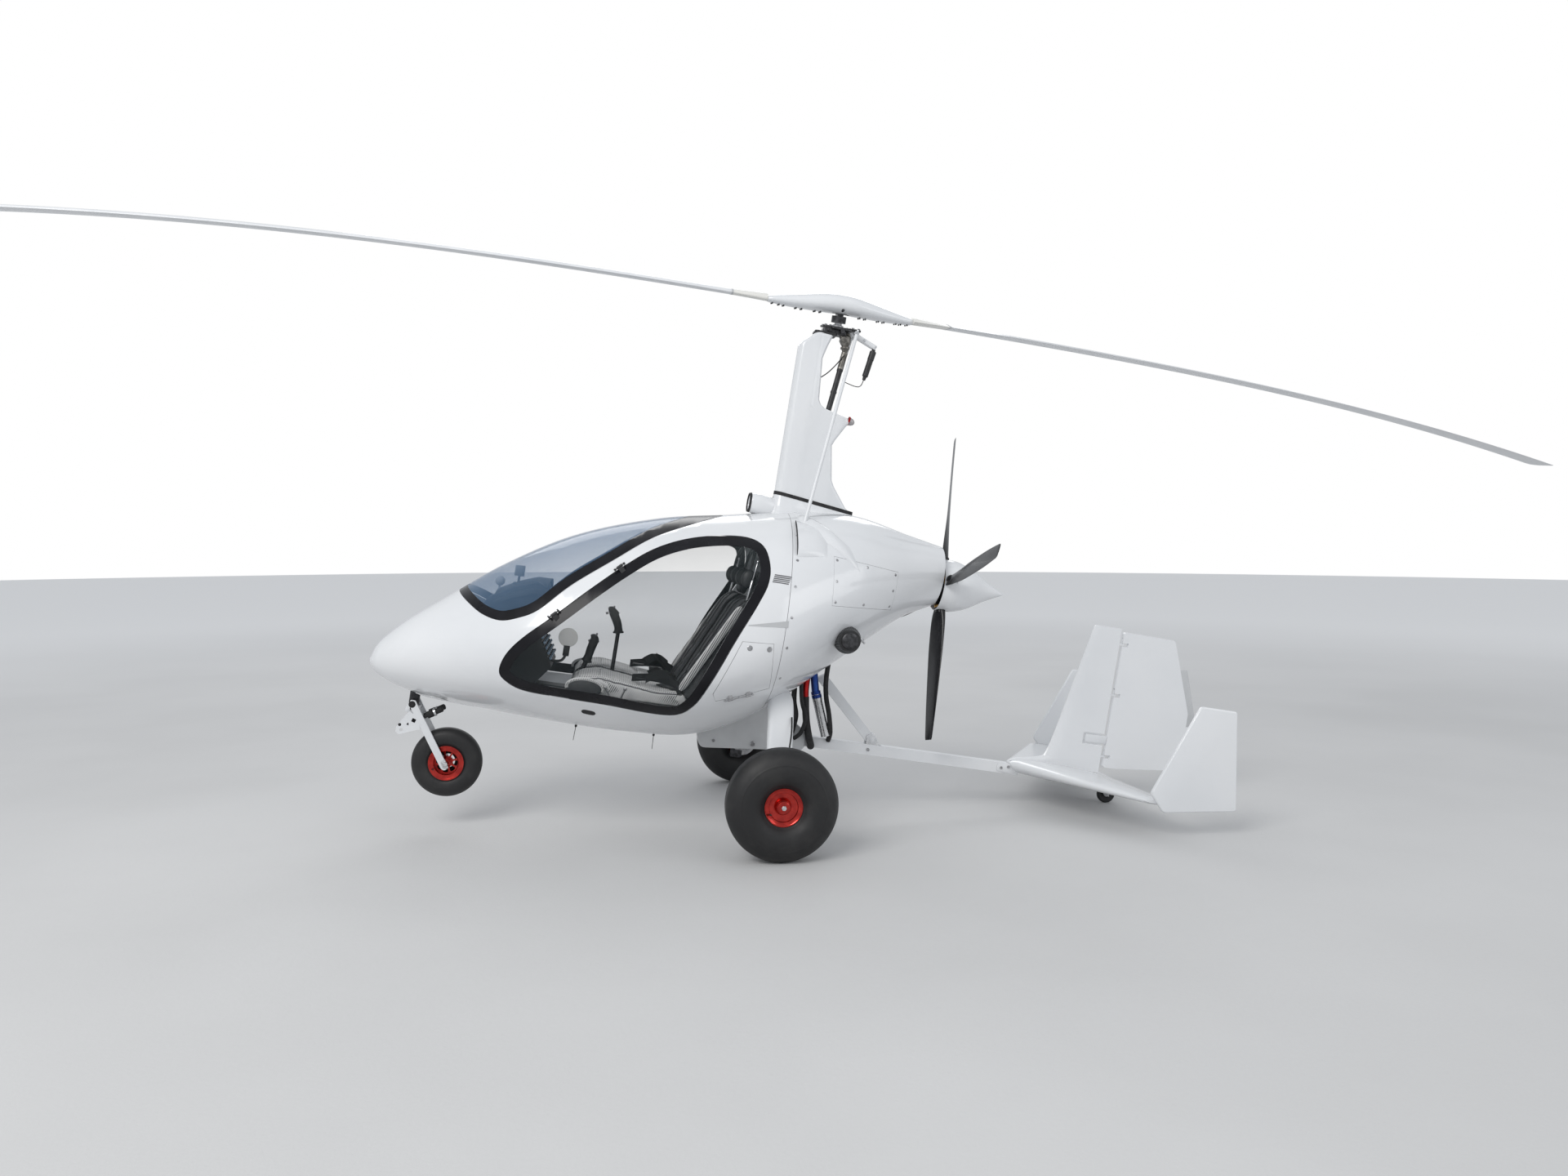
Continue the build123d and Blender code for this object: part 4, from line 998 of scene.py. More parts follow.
def make_propeller():
    axis = Matrix.Translation(PROP) @ Matrix.Rotation(math.pi / 2, 4, "Y")
    blades = Form()
    rings = Form()
    roots = Form()
    for angle in PROP_ANGLES:
        place = Matrix.Translation(PROP) @ Matrix.Rotation(math.radians(-angle), 4, "X")
        rows = [prop_ring(*p) for p in smooth_path(PROP_BLADE, 8)]
        last = PROP_BLADE[-1]
        rows.append(prop_ring(PROP_TIP, last[1] * 0.86, last[2] * 0.7, last[3]))
        blades.grid(rows, caps=True, place=place)
        rings.lathe([(0.024, 0.110), (0.032, 0.110), (0.033, 0.113), (0.033, 0.121), (0.031, 0.124),
                     (0.024, 0.124)], place, 32, closed=True)
        roots.lathe([(0, 0.04), (0.029, 0.04), (0.029, 0.110), (0.026, 0.112), (0.024, 0.150), (0, 0.150)],
                    place, 32)
    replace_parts(blades.piece("prop_blades", "propeller", "carbon", angle=50), "propeller")
    rings.piece("prop_rings", "propeller", "brass")
    roots.piece("prop_roots", "propeller", "carbon")
    hub = Form().lathe([(0, -0.034), (0.094, -0.034), (0.097, -0.030), (0.097, 0.010), (0.070, 0.014),
                        (0.060, 0.036), (0.026, 0.039), (0.026, 0.15), (0, 0.15)], axis, 48)
    hub.piece("prop_hub", "propeller", "dark_metal")

    # Spinner with a hole around each blade's root, and the ring in front of it
    outer = [(p[1], p[0]) for p in smooth_path(SPINNER, 8)]
    inner = [(max(r - 0.004, 0.0005), x - 0.002) for r, x in outer[:-6]]
    loop = outer + [(0, outer[-1][1]), (0, inner[-1][1])] + inner[::-1]
    shell = Form().lathe(loop, axis, 72, closed=True).raw("spinner_shell")
    ring = Form().lathe([(0.1375, -0.036), (0.1375, 0.026), (0.1355, 0.029), (0.1335, 0.026),
                         (0.1335, -0.036)], axis, 72, closed=True)
    ring.piece("spinner_ring", "propeller", "white_gel", angle=40)
    tools = []
    for angle in PROP_ANGLES:
        place = SET_DOWN @ Matrix.Translation(PROP) @ Matrix.Rotation(math.radians(-angle), 4, "X")
        hole = Form().lathe([(0, 0.07), (0.040, 0.07), (0.040, 0.18), (0, 0.18)], None, 32)
        tools.append(hole.raw("tool", place))
    cut(shell, "DIFFERENCE", *tools)
    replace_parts(dress(shell, "propeller", "white_gel", 40), "spinner")


def about_y(centre, side=1):
    """Places local z along y, outward on the given side."""
    return Matrix.Translation(centre) @ Matrix.Rotation(-side * math.pi / 2, 4, "X")


def wheel(name, body, centre, side, tyre, rim, window, boss, node):
    """A tyre, its rim with cut windows, a black plate behind them as painted shade seen through the windows,
    hub cap and valve.
    """
    place = about_y(centre, side)
    half = [tuple(p) for p in smooth_path(tyre, 6)]
    skin_piece = Form().lathe(half + [(r, -y) for r, y in half[::-1]], place, 96, closed=True)
    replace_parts(skin_piece.piece(name + "_tyre_skin", body, "rubber", angle=60), node[0])
    shell = Form().lathe(rim, place, 72, closed=True).raw(name + "_rim_skin")
    tools = []
    for angle in turns(8):
        turn = place @ Matrix.Rotation(angle, 4, "Z") @ Matrix.Rotation(-math.pi / 2, 4, "X")
        tools.append(Form().prism(softened(window[0], 0.008), *window[1], turn).raw("tool"))
    cut(shell, "DIFFERENCE", *tools)
    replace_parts(dress(shell, body, "red_metal", 35), node[1])
    Form().lathe(boss, place, 40, closed=boss[0][0] > 0).piece(name + "_hub_cap", body, "red_metal")
    # Black plate behind the windows: painted shade of the wheel's inside.
    back = window[1][0] - 0.004
    Form().lathe([(0.0345, back), (0.0635, back), (0.0635, back + 0.003), (0.0345, back + 0.003)], place, 48,
                 closed=True).piece(name + "_rim_shade_plate", body, "soft_black")
    stem = place @ Matrix.Rotation(0.6, 4, "Z") @ Matrix.Translation((0.0705, 0, rim[-1][1] - 0.004))
    Form().lathe([(0, 0), (0.0035, 0), (0.0035, 0.018), (0.0028, 0.024), (0, 0.024)],
                 stem @ Matrix.Rotation(-0.3, 4, "Y"), 12).piece(name + "_valve", body, "soft_black")


def make_wheels():
    for side, label in ((1, "left"), (-1, "right")):
        centre = Vector((AXLE.x, side * TRACK_HALF, AXLE.z))
        wheel("main_" + label, "wheel_" + label, centre, side, MAIN_TYRE, MAIN_RIM,
              ([(0.0385, -0.0105), (0.058, -0.0165), (0.0615, 0.0), (0.058, 0.0165), (0.0385, 0.0105)],
               (0.02, 0.08)),
              [(0, 0.056), (0.028, 0.056), (0.0295, 0.060), (0.028, 0.066), (0.022, 0.069), (0, 0.070)],
              ("main_tyre_" + label, "main_rim_" + label))
        nut = Form().lathe([(0, 0.068), (0.0125, 0.068), (0.0125, 0.0765), (0.0105, 0.0785), (0, 0.0785)],
                           about_y(centre, side), 6)
        nut.piece("axle_nut_" + label, "wheel_" + label, "silver", bevel=0.0006)
        place = about_y((AXLE.x, 0, AXLE.z), side)
        caliper = Form().level(rounded(-0.034, 0.034, -0.022, 0.022, 0.008), 0.704, 0.7245,
                               place @ Matrix.Translation((0.030, -0.066, 0)))
        caliper.level(rounded(-0.030, 0.030, -0.010, 0.014, 0.008), 0.7245, 0.742,
                      place @ Matrix.Translation((0.030, -0.086, 0)))
        caliper.piece("brake_caliper_" + label, "airframe", "dark_metal", bevel=0.0015)
        hose = [(AXLE.x + 0.03, side * 0.710, AXLE.z + 0.085), (AXLE.x - 0.02, side * 0.66, 0.39),
                (AXLE.x - 0.045, side * 0.56, 0.52), (AXLE.x - 0.05, side * 0.47, 0.60)]
        Form().tube(hose, 0.004, 10).piece("brake_hose_" + label, "airframe", "soft_black")

        # Sprung leg from the hull's flank to the axle
        rows = smooth_path(LEG_PATH, 7)
        rings = []
        for k, p in enumerate(rows):
            ahead = Vector(rows[min(k + 1, len(rows) - 1)][:2]) - Vector(rows[max(k - 1, 0)][:2])
            ahead.normalize()
            normal = Vector((-ahead.y, ahead.x))
            ring = []
            for u, v in [(q[1], q[2]) for q in oval(0, 0, 0, p[2], p[3], 3.4, 36)]:
                ring.append((0.4375 + u, side * (p[0] + normal.x * v), p[1] + normal.y * v))
            rings.append(ring)
        leg = Form().grid(rings, caps=True)
        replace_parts(leg.piece("gear_leg_" + label, "airframe", "white_paint", angle=50), "main_leg_" + label)
        clamp = Form().level(rounded(-0.046, 0.046, -0.046, 0.046, 0.012), 0.700, 0.7115, place)
        clamp.piece("axle_flange_" + label, "airframe", "steel", bevel=0.0015)
        bolts = Form()
        for x in (-0.034, 0.034):
            for y in (-0.034, 0.034):
                bolts.lathe([(0, 0), (0.0065, 0), (0.0065, 0.005), (0, 0.006)],
                            place @ Matrix.Translation((x, y, 0.7115)), 6)
        bolts.piece("axle_bolts_" + label, "airframe", "silver")


def make_nose_gear():
    centre = Vector((NOSE_X, 0, NOSE_Z))
    window = ([(0.028, -0.0075), (0.050, -0.0155), (0.0545, 0.0), (0.050, 0.0155), (0.028, 0.0075)],
              (-0.03, 0.03))
    wheel("nose", "nose_wheel", centre, 1, NOSE_TYRE, NOSE_RIM, window,
          [(0.0095, 0.0475), (0.016, 0.0475), (0.016, 0.0515), (0.0095, 0.0515)], ("nose_tyre", "nose_rim"))
    fork = Form()
    leg = [(2.216, 0.372), (2.190, 0.374), (2.176, 0.350), (1.992, 0.072), (1.990, 0.055), (2.006, 0.045),
           (2.022, 0.054), (2.206, 0.330)]
    fork.plates(softened(leg, 0.008), 0.0545, 0.0660)
    fork.block((STEER_X - 0.034, -0.0545, 0.322), (STEER_X + 0.014, 0.0545, 0.338))
    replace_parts(fork.piece("nose_fork_legs", "nose_gear", "white_paint", bevel=0.002), "nose_fork")

    # Tow plates with their three holes, a rubber block and cross pins between them
    plate = softened([(2.212, 0.318), (2.262, 0.236), (2.262, 0.208), (2.246, 0.197), (2.146, 0.236),
                      (2.176, 0.300)], 0.006)
    for side, label in ((1, "left"), (-1, "right")):
        low, high = sorted((side * 0.0605, side * 0.0655))
        sheet = Form().prism(plate, low, high).raw("tow_plate_" + label)
        holes = [[(2.178, 0.262), (2.196, 0.268), (2.190, 0.286), (2.172, 0.280)],
                 [(2.204, 0.246), (2.217, 0.250), (2.207, 0.262)]]
        tools = [Form().prism(softened(h, 0.003), -0.08, 0.08).raw("tool") for h in holes]
        tools.append(Form().rod((2.236, -0.08, 0.222), (2.236, 0.08, 0.222), 0.008).raw("tool"))
        cut(sheet, "DIFFERENCE", *tools)
        dress(sheet, "nose_gear", "white_paint")
    rubber = [(2.170, 0.255), (2.200, 0.243), (2.222, 0.240), (2.222, 0.262), (2.196, 0.292), (2.172, 0.288)]
    Form().prism(rubber, -0.045, 0.045).piece("tow_damper", "nose_gear", "soft_black", bevel=0.002)
    pins = Form().rod((2.247, -0.0675, 0.2455), (2.247, 0.0675, 0.2455), 0.0075)
    pins.rod((2.205, -0.0605, 0.330), (2.205, 0.0605, 0.330), 0.007)
    pins.piece("tow_cross_pins", "nose_gear", "soft_black")
    small = softened([(2.226, 0.352), (2.236, 0.318), (2.220, 0.306), (2.204, 0.322), (2.206, 0.352)], 0.006)
    Form().plates(small, 0.044, 0.050).piece("nose_side_plates", "nose_gear", "white_paint", bevel=0.001)
    pivot = Form().rod((2.203, -0.073, 0.352), (2.203, 0.073, 0.352), 0.0115, 0.002, 6)
    pivot.rod((2.203, -0.068, 0.352), (2.203, 0.068, 0.352), 0.017, 0.002)
    pivot.piece("nose_pivot_bolt", "nose_gear", "soft_black")
    axle = Form().rod((NOSE_X, -0.072, NOSE_Z), (NOSE_X, 0.072, NOSE_Z), 0.0088)
    fitting = softened([(NOSE_X - 0.020, NOSE_Z - 0.018), (NOSE_X + 0.010, NOSE_Z - 0.022),
                        (NOSE_X + 0.024, NOSE_Z + 0.008), (NOSE_X + 0.006, NOSE_Z + 0.026)], 0.006)
    axle.plates(fitting, 0.052, 0.070)
    for side in (-1, 1):
        axle.lathe([(0, 0), (0.014, 0), (0.014, 0.005), (0.011, 0.009), (0, 0.009)],
                   about_y((NOSE_X, side * 0.070, NOSE_Z), side), 6)
    axle.piece("nose_axle", "nose_gear", "silver", bevel=0.0012)

    # Two steering dampers and the clamp round each
    damper, clamp = Form(), Form()
    for side in (-1, 1):
        start, end = (Vector((x, side * 0.040, z)) for x, z in NOSE_DAMPER)
        damper.lathe([(0, 0), (0.009, 0), (0.010, 0.028), (0.018, 0.032), (0.018, 0.060), (0.0145, 0.064),
                      (0.0145, 0.108), (0.009, 0.112), (0, 0.112)], aimed(start, end), 28)
        clamp.lathe([(0.0145, -0.005), (0.0195, -0.005), (0.0195, 0.005), (0.0145, 0.005)],
                    aimed(start.lerp(end, 0.62), end), 28, closed=True)
    damper.piece("nose_dampers", "nose_gear", "soft_black")
    clamp.piece("nose_damper_clamps", "nose_gear", "silver")
    bracket = Form().lathe([(0.0154, 0.349), (0.024, 0.349), (0.025, 0.353), (0.025, 0.446),
                            (0.0154, 0.446)], Matrix.Translation((STEER_X, 0, 0)), 40, closed=True)
    bracket.block((STEER_X - 0.060, -0.024, 0.398), (STEER_X + 0.010, 0.024, 0.430))
    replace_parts(bracket.piece("nose_bearing", "airframe", "dark_metal", bevel=0.001), "nose_bracket")
    strip = []
    for k in range(30):
        x = 2.200 - 0.300 * k / 29
        low = station(x)[0]
        taper = 0.010 * min(1.0, k / 4, (29 - k) / 4) + 0.001
        strip.append([(x, 0.030 + taper, low + 0.004), (x, 0.030 + taper, low - 0.003),
                      (x, 0.030 - taper, low - 0.003), (x, 0.030 - taper, low + 0.004)])
    Form().grid(strip, caps=True).piece("belly_strip", "airframe", "silver")


def on_skin(line):
    """Rings of a thin band on the port skin along (x, z, half height) points."""
    rows = []
    for x, z, half in line:
        ring = []
        for rise, out in ((-half, 0.0008), (half, 0.0008), (half, -0.001), (-half, -0.001)):
            point, normal = skin(x, z + rise)
            ring.append(point + normal * out)
        rows.append(ring)
    return rows


def skin_frame(x, z):
    """Places local z along the port skin's normal at (x, z)."""
    point, normal = skin(x, z)
    return aimed(point, point + normal)


def pair_up(left, name, finish, angle=35, bodies=("airframe", "airframe"), node=None):
    """Dresses a port piece drawn keel level and its starboard mirror image."""
    right = mirror_of(left, name + "_right")
    for piece, body, label in ((left, bodies[0], "left"), (right, bodies[1], "right")):
        piece.data.transform(SET_DOWN)
        dress(piece, body, finish, angle)
        if node:
            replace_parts(piece, node + "_" + label)


def both_sides(form, name, finish, bodies=("airframe", "airframe"), bevel=0.0, angle=35):
    """Makes a piece from the port form and its mirror image to starboard."""
    pair_up(form.raw(name + "_left", KEEL_LEVEL, bevel), name, finish, angle, bodies)


def make_hull_details():
    for name, places in (("cowl_screws", COWL_SCREWS), ("panel_screws", PANEL_SCREWS)):
        form = Form()
        for x, z in places:
            form.lathe(SCREW, skin_frame(x, z), 20)
        both_sides(form, name, "steel")
    latches = Form()
    for x, z in ((0.668, 0.916), (0.574, 0.922)):
        latches.lathe([(0, -0.002), (0.0125, -0.002), (0.0130, 0.0006), (0.0110, 0.0022), (0.004, 0.0026),
                       (0, 0.0020)], skin_frame(x, z), 28)
    both_sides(latches, "hatch_latches", "steel", ("hatch_left", "hatch_right"))

    # Side scoop behind the cabin's seam: open to the front, faired into the cowl behind
    upper, under = [], []
    for t in spaced(0, 1, 19):
        row, base = [], []
        for u in spaced(-1, 1, 21):
            height = 0.022 * (1 - abs(u) ** 5) * (1 - t**3) + 0.0004
            x = 0.488 - 0.150 * t
            z = 1.458 - 0.004 * t + u * (0.090 - 0.028 * t)
            point, normal = skin(x, z)
            row.append(point + normal * height)
            base.append(point - normal * 0.003)
        upper.append(row)
        under.append(base)
    scoop = Form().grid([a + b[::-1] for a, b in zip(upper, under)], caps=True)
    both_sides(scoop, "cowl_scoop", "white_gel")
    # A black sheet on the scoop's front face: painted shade of its open mouth.
    mouth = []
    for out in (0.0006, 0.0016):
        mouth.append([p + Vector((out, 0, 0)) for p in upper[0][1:-1] + under[0][-2:0:-1]])
    both_sides(Form().grid(mouth, caps=True), "scoop_mouth_shade", "soft_black")

    # Thin bands that lie on the skin: stripes, and flat bands of painted shade for a scoop and a grip recess
    stripes = Form()
    for k in range(5):
        line = [(x, 1.268 - 0.0085 * k, 0.0022) for x in spaced(0.510 + 0.003 * k, 0.592 + 0.002 * k, 12)]
        stripes.grid(on_skin(line), caps=True)
    both_sides(stripes, "side_stripes", "decal_grey")
    # Grey band on the skin: painted shade of the scoop's hollow, no hollow is cut.
    scoop = [(0.690 - 0.190 * t, 1.019 + 0.030 * t, 0.002 + 0.014 * t) for t in spaced(0, 1, 14)]
    both_sides(Form().grid(on_skin(scoop), caps=True), "scoop_shade_band", "belly_grey")
    # Black band on the sill: painted shade of the grip recess, no recess is cut.
    grip = [(1.384 - 0.068 * t, 0.487 - 0.004 * t, 0.0125 * math.sqrt(max(1 - (2 * t - 1) ** 4, 0.02)))
            for t in spaced(0, 1, 13)]
    both_sides(Form().grid(on_skin(grip), caps=True), "grip_recess_shade", "soft_black")

    # Shoulder fairing over the control rod's exit
    rows = []
    for x, z, lift in smooth_path([(0.470, 1.560, 0.0), (0.430, 1.540, 0.010), (0.340, 1.500, 0.016),
                                   (0.250, 1.440, 0.010), (0.190, 1.400, 0.0)], 6):
        ring = []
        for s in spaced(-1, 1, 9):
            point, normal = skin(x + 0.030 * s, z + 0.055 * s)
            ring.append(point + normal * (max(lift, 0.0) * math.sqrt(max(1 - s * s, 0)) + 0.0004))
        for s in (1, -1):
            point, normal = skin(x + 0.030 * s, z + 0.055 * s)
            ring.append(point - normal * 0.002)
        rows.append(ring)
    both_sides(Form().grid(rows, caps=True), "shoulder_fairing", "white_gel")

    # Air filter: a pleated cone, a cap on its end, and the fitting beside it
    def on_filter(y, reach, turn):
        return (FILTER_X + reach * math.cos(turn), y, FILTER_Z + reach * math.sin(turn))

    pleats = 42
    rows = []
    for y, r, depth in ((0.300, 0.064, 0.0), (0.392, 0.066, 0.0), (0.394, 0.0685, 0.0), (0.402, 0.0685, 0.0),
                        (0.405, 0.0665, 0.0012), (0.456, 0.052, 0.0012), (0.459, 0.0525, 0.0),
                        (0.465, 0.0525, 0.0)):
        rows.append([on_filter(y, r + (depth if k % 4 < 2 else -depth), math.pi * k / (2 * pleats))
                     for k in range(4 * pleats)])
    filt = Form().grid(rows, caps=True)
    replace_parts(filt.piece("filter_body", "airframe", "satin_black"), "air_filter")
    ridges = Form()
    for k in range(pleats):
        turn = 2 * math.pi * (k + 0.125) / pleats
        ridges.rod(on_filter(0.4055, 0.0670, turn), on_filter(0.4555, 0.0528, turn), 0.0010)
    ridges.piece("filter_ridges", "airframe", "cabin_grey")
    cap = Form().lathe([(0, 0), (0.039, 0), (0.041, 0.002), (0.041, 0.0075), (0.038, 0.010), (0.020, 0.0125),
                        (0, 0.013)], about_y((FILTER_X, 0.4645, FILTER_Z)), 48)
    cap.piece("filter_cap", "airframe", "dark_metal", angle=50)
    fitting = Form().lathe([(0, -0.01), (0.011, -0.01), (0.011, 0.006), (0.006, 0.008), (0.005, 0.024),
                            (0, 0.024)], skin_frame(0.048, 1.004), 24)
    fitting.piece("drain_fitting", "airframe", "silver")
    for name, x, y, tilt in (("antenna_front", 1.400, 0.10, -0.035), ("antenna_rear", 1.010, 0.10, 0.035)):
        low = station(x)[0]
        rod = Form().lathe([(0, 0.010), (0.006, 0.010), (0.006, -0.006), (0.0016, -0.010), (0.0013, -0.075),
                            (0, -0.076)],
                           Matrix.Translation((x, y, low + 0.004)) @ Matrix.Rotation(tilt, 4, "Y"), 12)
        rod.piece(name, "airframe", "soft_black")


def hinge_place(point, line, normal):
    """Places a hinge: local z along its pin, local y out of the skin."""
    z = Vector(line).normalized()
    out = Vector(normal)
    out = (out - z * out.dot(z)).normalized()
    x = out.cross(z)
    return Matrix.Translation(point) @ Matrix((x, out, z)).transposed().to_4x4()


def strap(form, place, start, end, middle, wide, thick):
    """A flat bar in a hinge's frame between two (x, y) points."""
    start, end = Vector(start), Vector(end)
    along = (end - start).normalized()
    off = Vector((-along.y, along.x)) * thick / 2
    form.level([start + off, end + off, end - off, start - off], middle - wide / 2, middle + wide / 2, place)


def make_hinges():
    knuckles, pins = Form(), Form()
    for point, normal in DOOR_PINS:
        place = hinge_place(point, DOOR_LINE, normal)
        inward = 1 if place.col[0].to_3d().dot(Vector((-0.7, 0, -0.714))) > 0 else -1
        ring = [(0.0031, -0.015), (0.007, -0.015), (0.007, 0.015), (0.0031, 0.015)]
        knuckles.lathe(ring, place, 24, closed=True)
        strap(knuckles, place, (inward * 0.006, -0.005), (inward * 0.025, -0.019), 0, 0.024, 0.007)
        pins.lathe([(0, -0.030), (0.003, -0.030), (0.003, 0.030), (0, 0.030)], place, 20)
        for z in (-0.026, 0.026):
            strap(pins, place, (inward * 0.003, 0.0034), (inward * -0.016, -0.018), z, 0.007, 0.009)
    both_sides(knuckles, "door_knuckles", "satin_black", ("door_left", "door_right"))
    both_sides(pins, "door_hinge_pins", "satin_black")
    knuckles, pins = Form(), Form()
    place = hinge_place(HATCH_PIN, HATCH_LINE, (-0.35, 0.734, -0.582))
    inward = 1 if place.col[0].to_3d().dot(Vector((0.124, 0.652, 0.748))) > 0 else -1
    for z in (-0.045, 0.045):
        ring = [(0.0021, z - 0.012), (0.005, z - 0.012), (0.005, z + 0.012), (0.0021, z + 0.012)]
        knuckles.lathe(ring, place, 20, closed=True)
        strap(knuckles, place, (inward * 0.004, -0.003), (inward * 0.018, -0.014), z, 0.020, 0.004)
    pins.lathe([(0, -0.072), (0.002, -0.072), (0.002, 0.072), (0, 0.072)], place, 16)
    for z in (-0.068, 0.0, 0.068):
        strap(pins, place, (inward * 0.002, 0.0026), (inward * -0.012, -0.015), z, 0.006, 0.006)
    both_sides(knuckles, "hatch_knuckles", "steel", ("hatch_left", "hatch_right"))
    both_sides(pins, "hatch_hinge_pins", "steel")


def make_keel():
    fairing = softened([(0.795, 0.420), (0.765, 0.325), (0.225, 0.378), (0.215, 0.470), (0.420, 0.600),
                        (0.700, 0.520)], 0.030)
    body = Form().prism(fairing, -0.058, 0.058)
    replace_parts(body.piece("keel_cover", "airframe", "belly_grey", bevel=0.016, segments=4), "keel_fairing")
    bolts = Form()
    for side in (-1, 1):
        for x, z, r, y in ((0.497, 0.381, 0.014, 0.058), (0.700, 0.372, 0.008, 0.058),
                           (0.300, 0.400, 0.008, 0.058), (0.197, 0.428, 0.010, 0.028),
                           (-0.120, 0.427, 0.009, 0.028), (-0.860, 0.428, 0.008, 0.033),
                           (-0.900, 0.438, 0.008, 0.033)):
            bolts.lathe([(0, -0.002), (r, -0.002), (r, 0.004), (r * 0.8, 0.006), (0, 0.006)],
                        about_y((x, side * y, z), side), 6 if r < 0.012 else 28)
    bolts.piece("keel_bolts", "airframe", "steel")
    plate = softened([(-0.960, 0.396), (-0.838, 0.410), (-0.838, 0.448), (-0.960, 0.460)], 0.010)
    joint = Form().plates(plate, 0.0285, 0.0330)
    joint.piece("boom_joint_plates", "airframe", "white_paint", bevel=0.001)
    lug = softened([(-0.192, 0.430), (-0.110, 0.430), (-0.100, 0.500), (-0.140, 0.520)], 0.012)
    lugs = Form().plates(lug, 0.0205, 0.0262)
    lugs.piece("strut_lugs", "airframe", "silver", bevel=0.001)

    # Pipe with its collars, and the hoses around it
    pipe = Form().lathe([(0, 0), (0.0245, 0), (0.0245, 0.190), (0.0255, 0.192), (0.0255, 0.206),
                         (0.018, 0.210), (0.018, 0.236), (0, 0.236)], aimed(PIPE_FOOT, PIPE_TOP), 36)
    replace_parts(pipe.piece("pipe_skin", "airframe", "silver"), "belly_pipe")
    collars = Form().lathe([(0.018, 0), (0.026, 0), (0.026, 0.016), (0.018, 0.016)],
                           aimed((0.201, 0.060, 0.666), PIPE_TOP), 32, closed=True)
    collars.piece("pipe_collar_lower", "airframe", "blue_metal")
    collars = Form().lathe([(0.018, 0), (0.025, 0), (0.025, 0.014), (0.018, 0.014)],
                           aimed((0.2085, 0.060, 0.684), PIPE_TOP), 32, closed=True)
    collars.rod((0.214, 0.060, 0.696), (0.240, 0.060, 0.800), 0.0200)
    collars.piece("pipe_collar_blue", "airframe", "blue_metal")
    Form().tube([(0.270, 0.068, 0.800), (0.270, 0.072, 0.730), (0.268, 0.074, 0.690), (0.262, 0.076, 0.650)],
                0.017, 16).piece("red_hose_end", "airframe", "red_fitting")
    hoses = Form()
    hoses.tube([(0.300, 0.090, 0.730), (0.285, 0.110, 0.640), (0.255, 0.115, 0.560), (0.262, 0.095, 0.480),
                (0.290, 0.070, 0.440)], 0.011, 16)
    hoses.tube([(0.264, 0.076, 0.664), (0.254, 0.080, 0.600), (0.238, 0.082, 0.530), (0.214, 0.076, 0.460),
                (0.192, 0.050, 0.415), (0.188, 0.026, 0.405)], 0.0185, 20)
    hoses.tube([(0.170, 0.070, 0.960), (0.172, 0.075, 0.780), (0.158, 0.080, 0.680), (0.128, 0.078, 0.590),
                (0.105, 0.070, 0.500), (0.100, 0.030, 0.448)], 0.013, 16)
    hoses.tube([(0.330, 0.060, 0.760), (0.322, 0.075, 0.640), (0.300, 0.080, 0.560), (0.305, 0.066, 0.470)],
               0.014, 16)
    hoses.piece("coolant_hoses", "airframe", "soft_black")


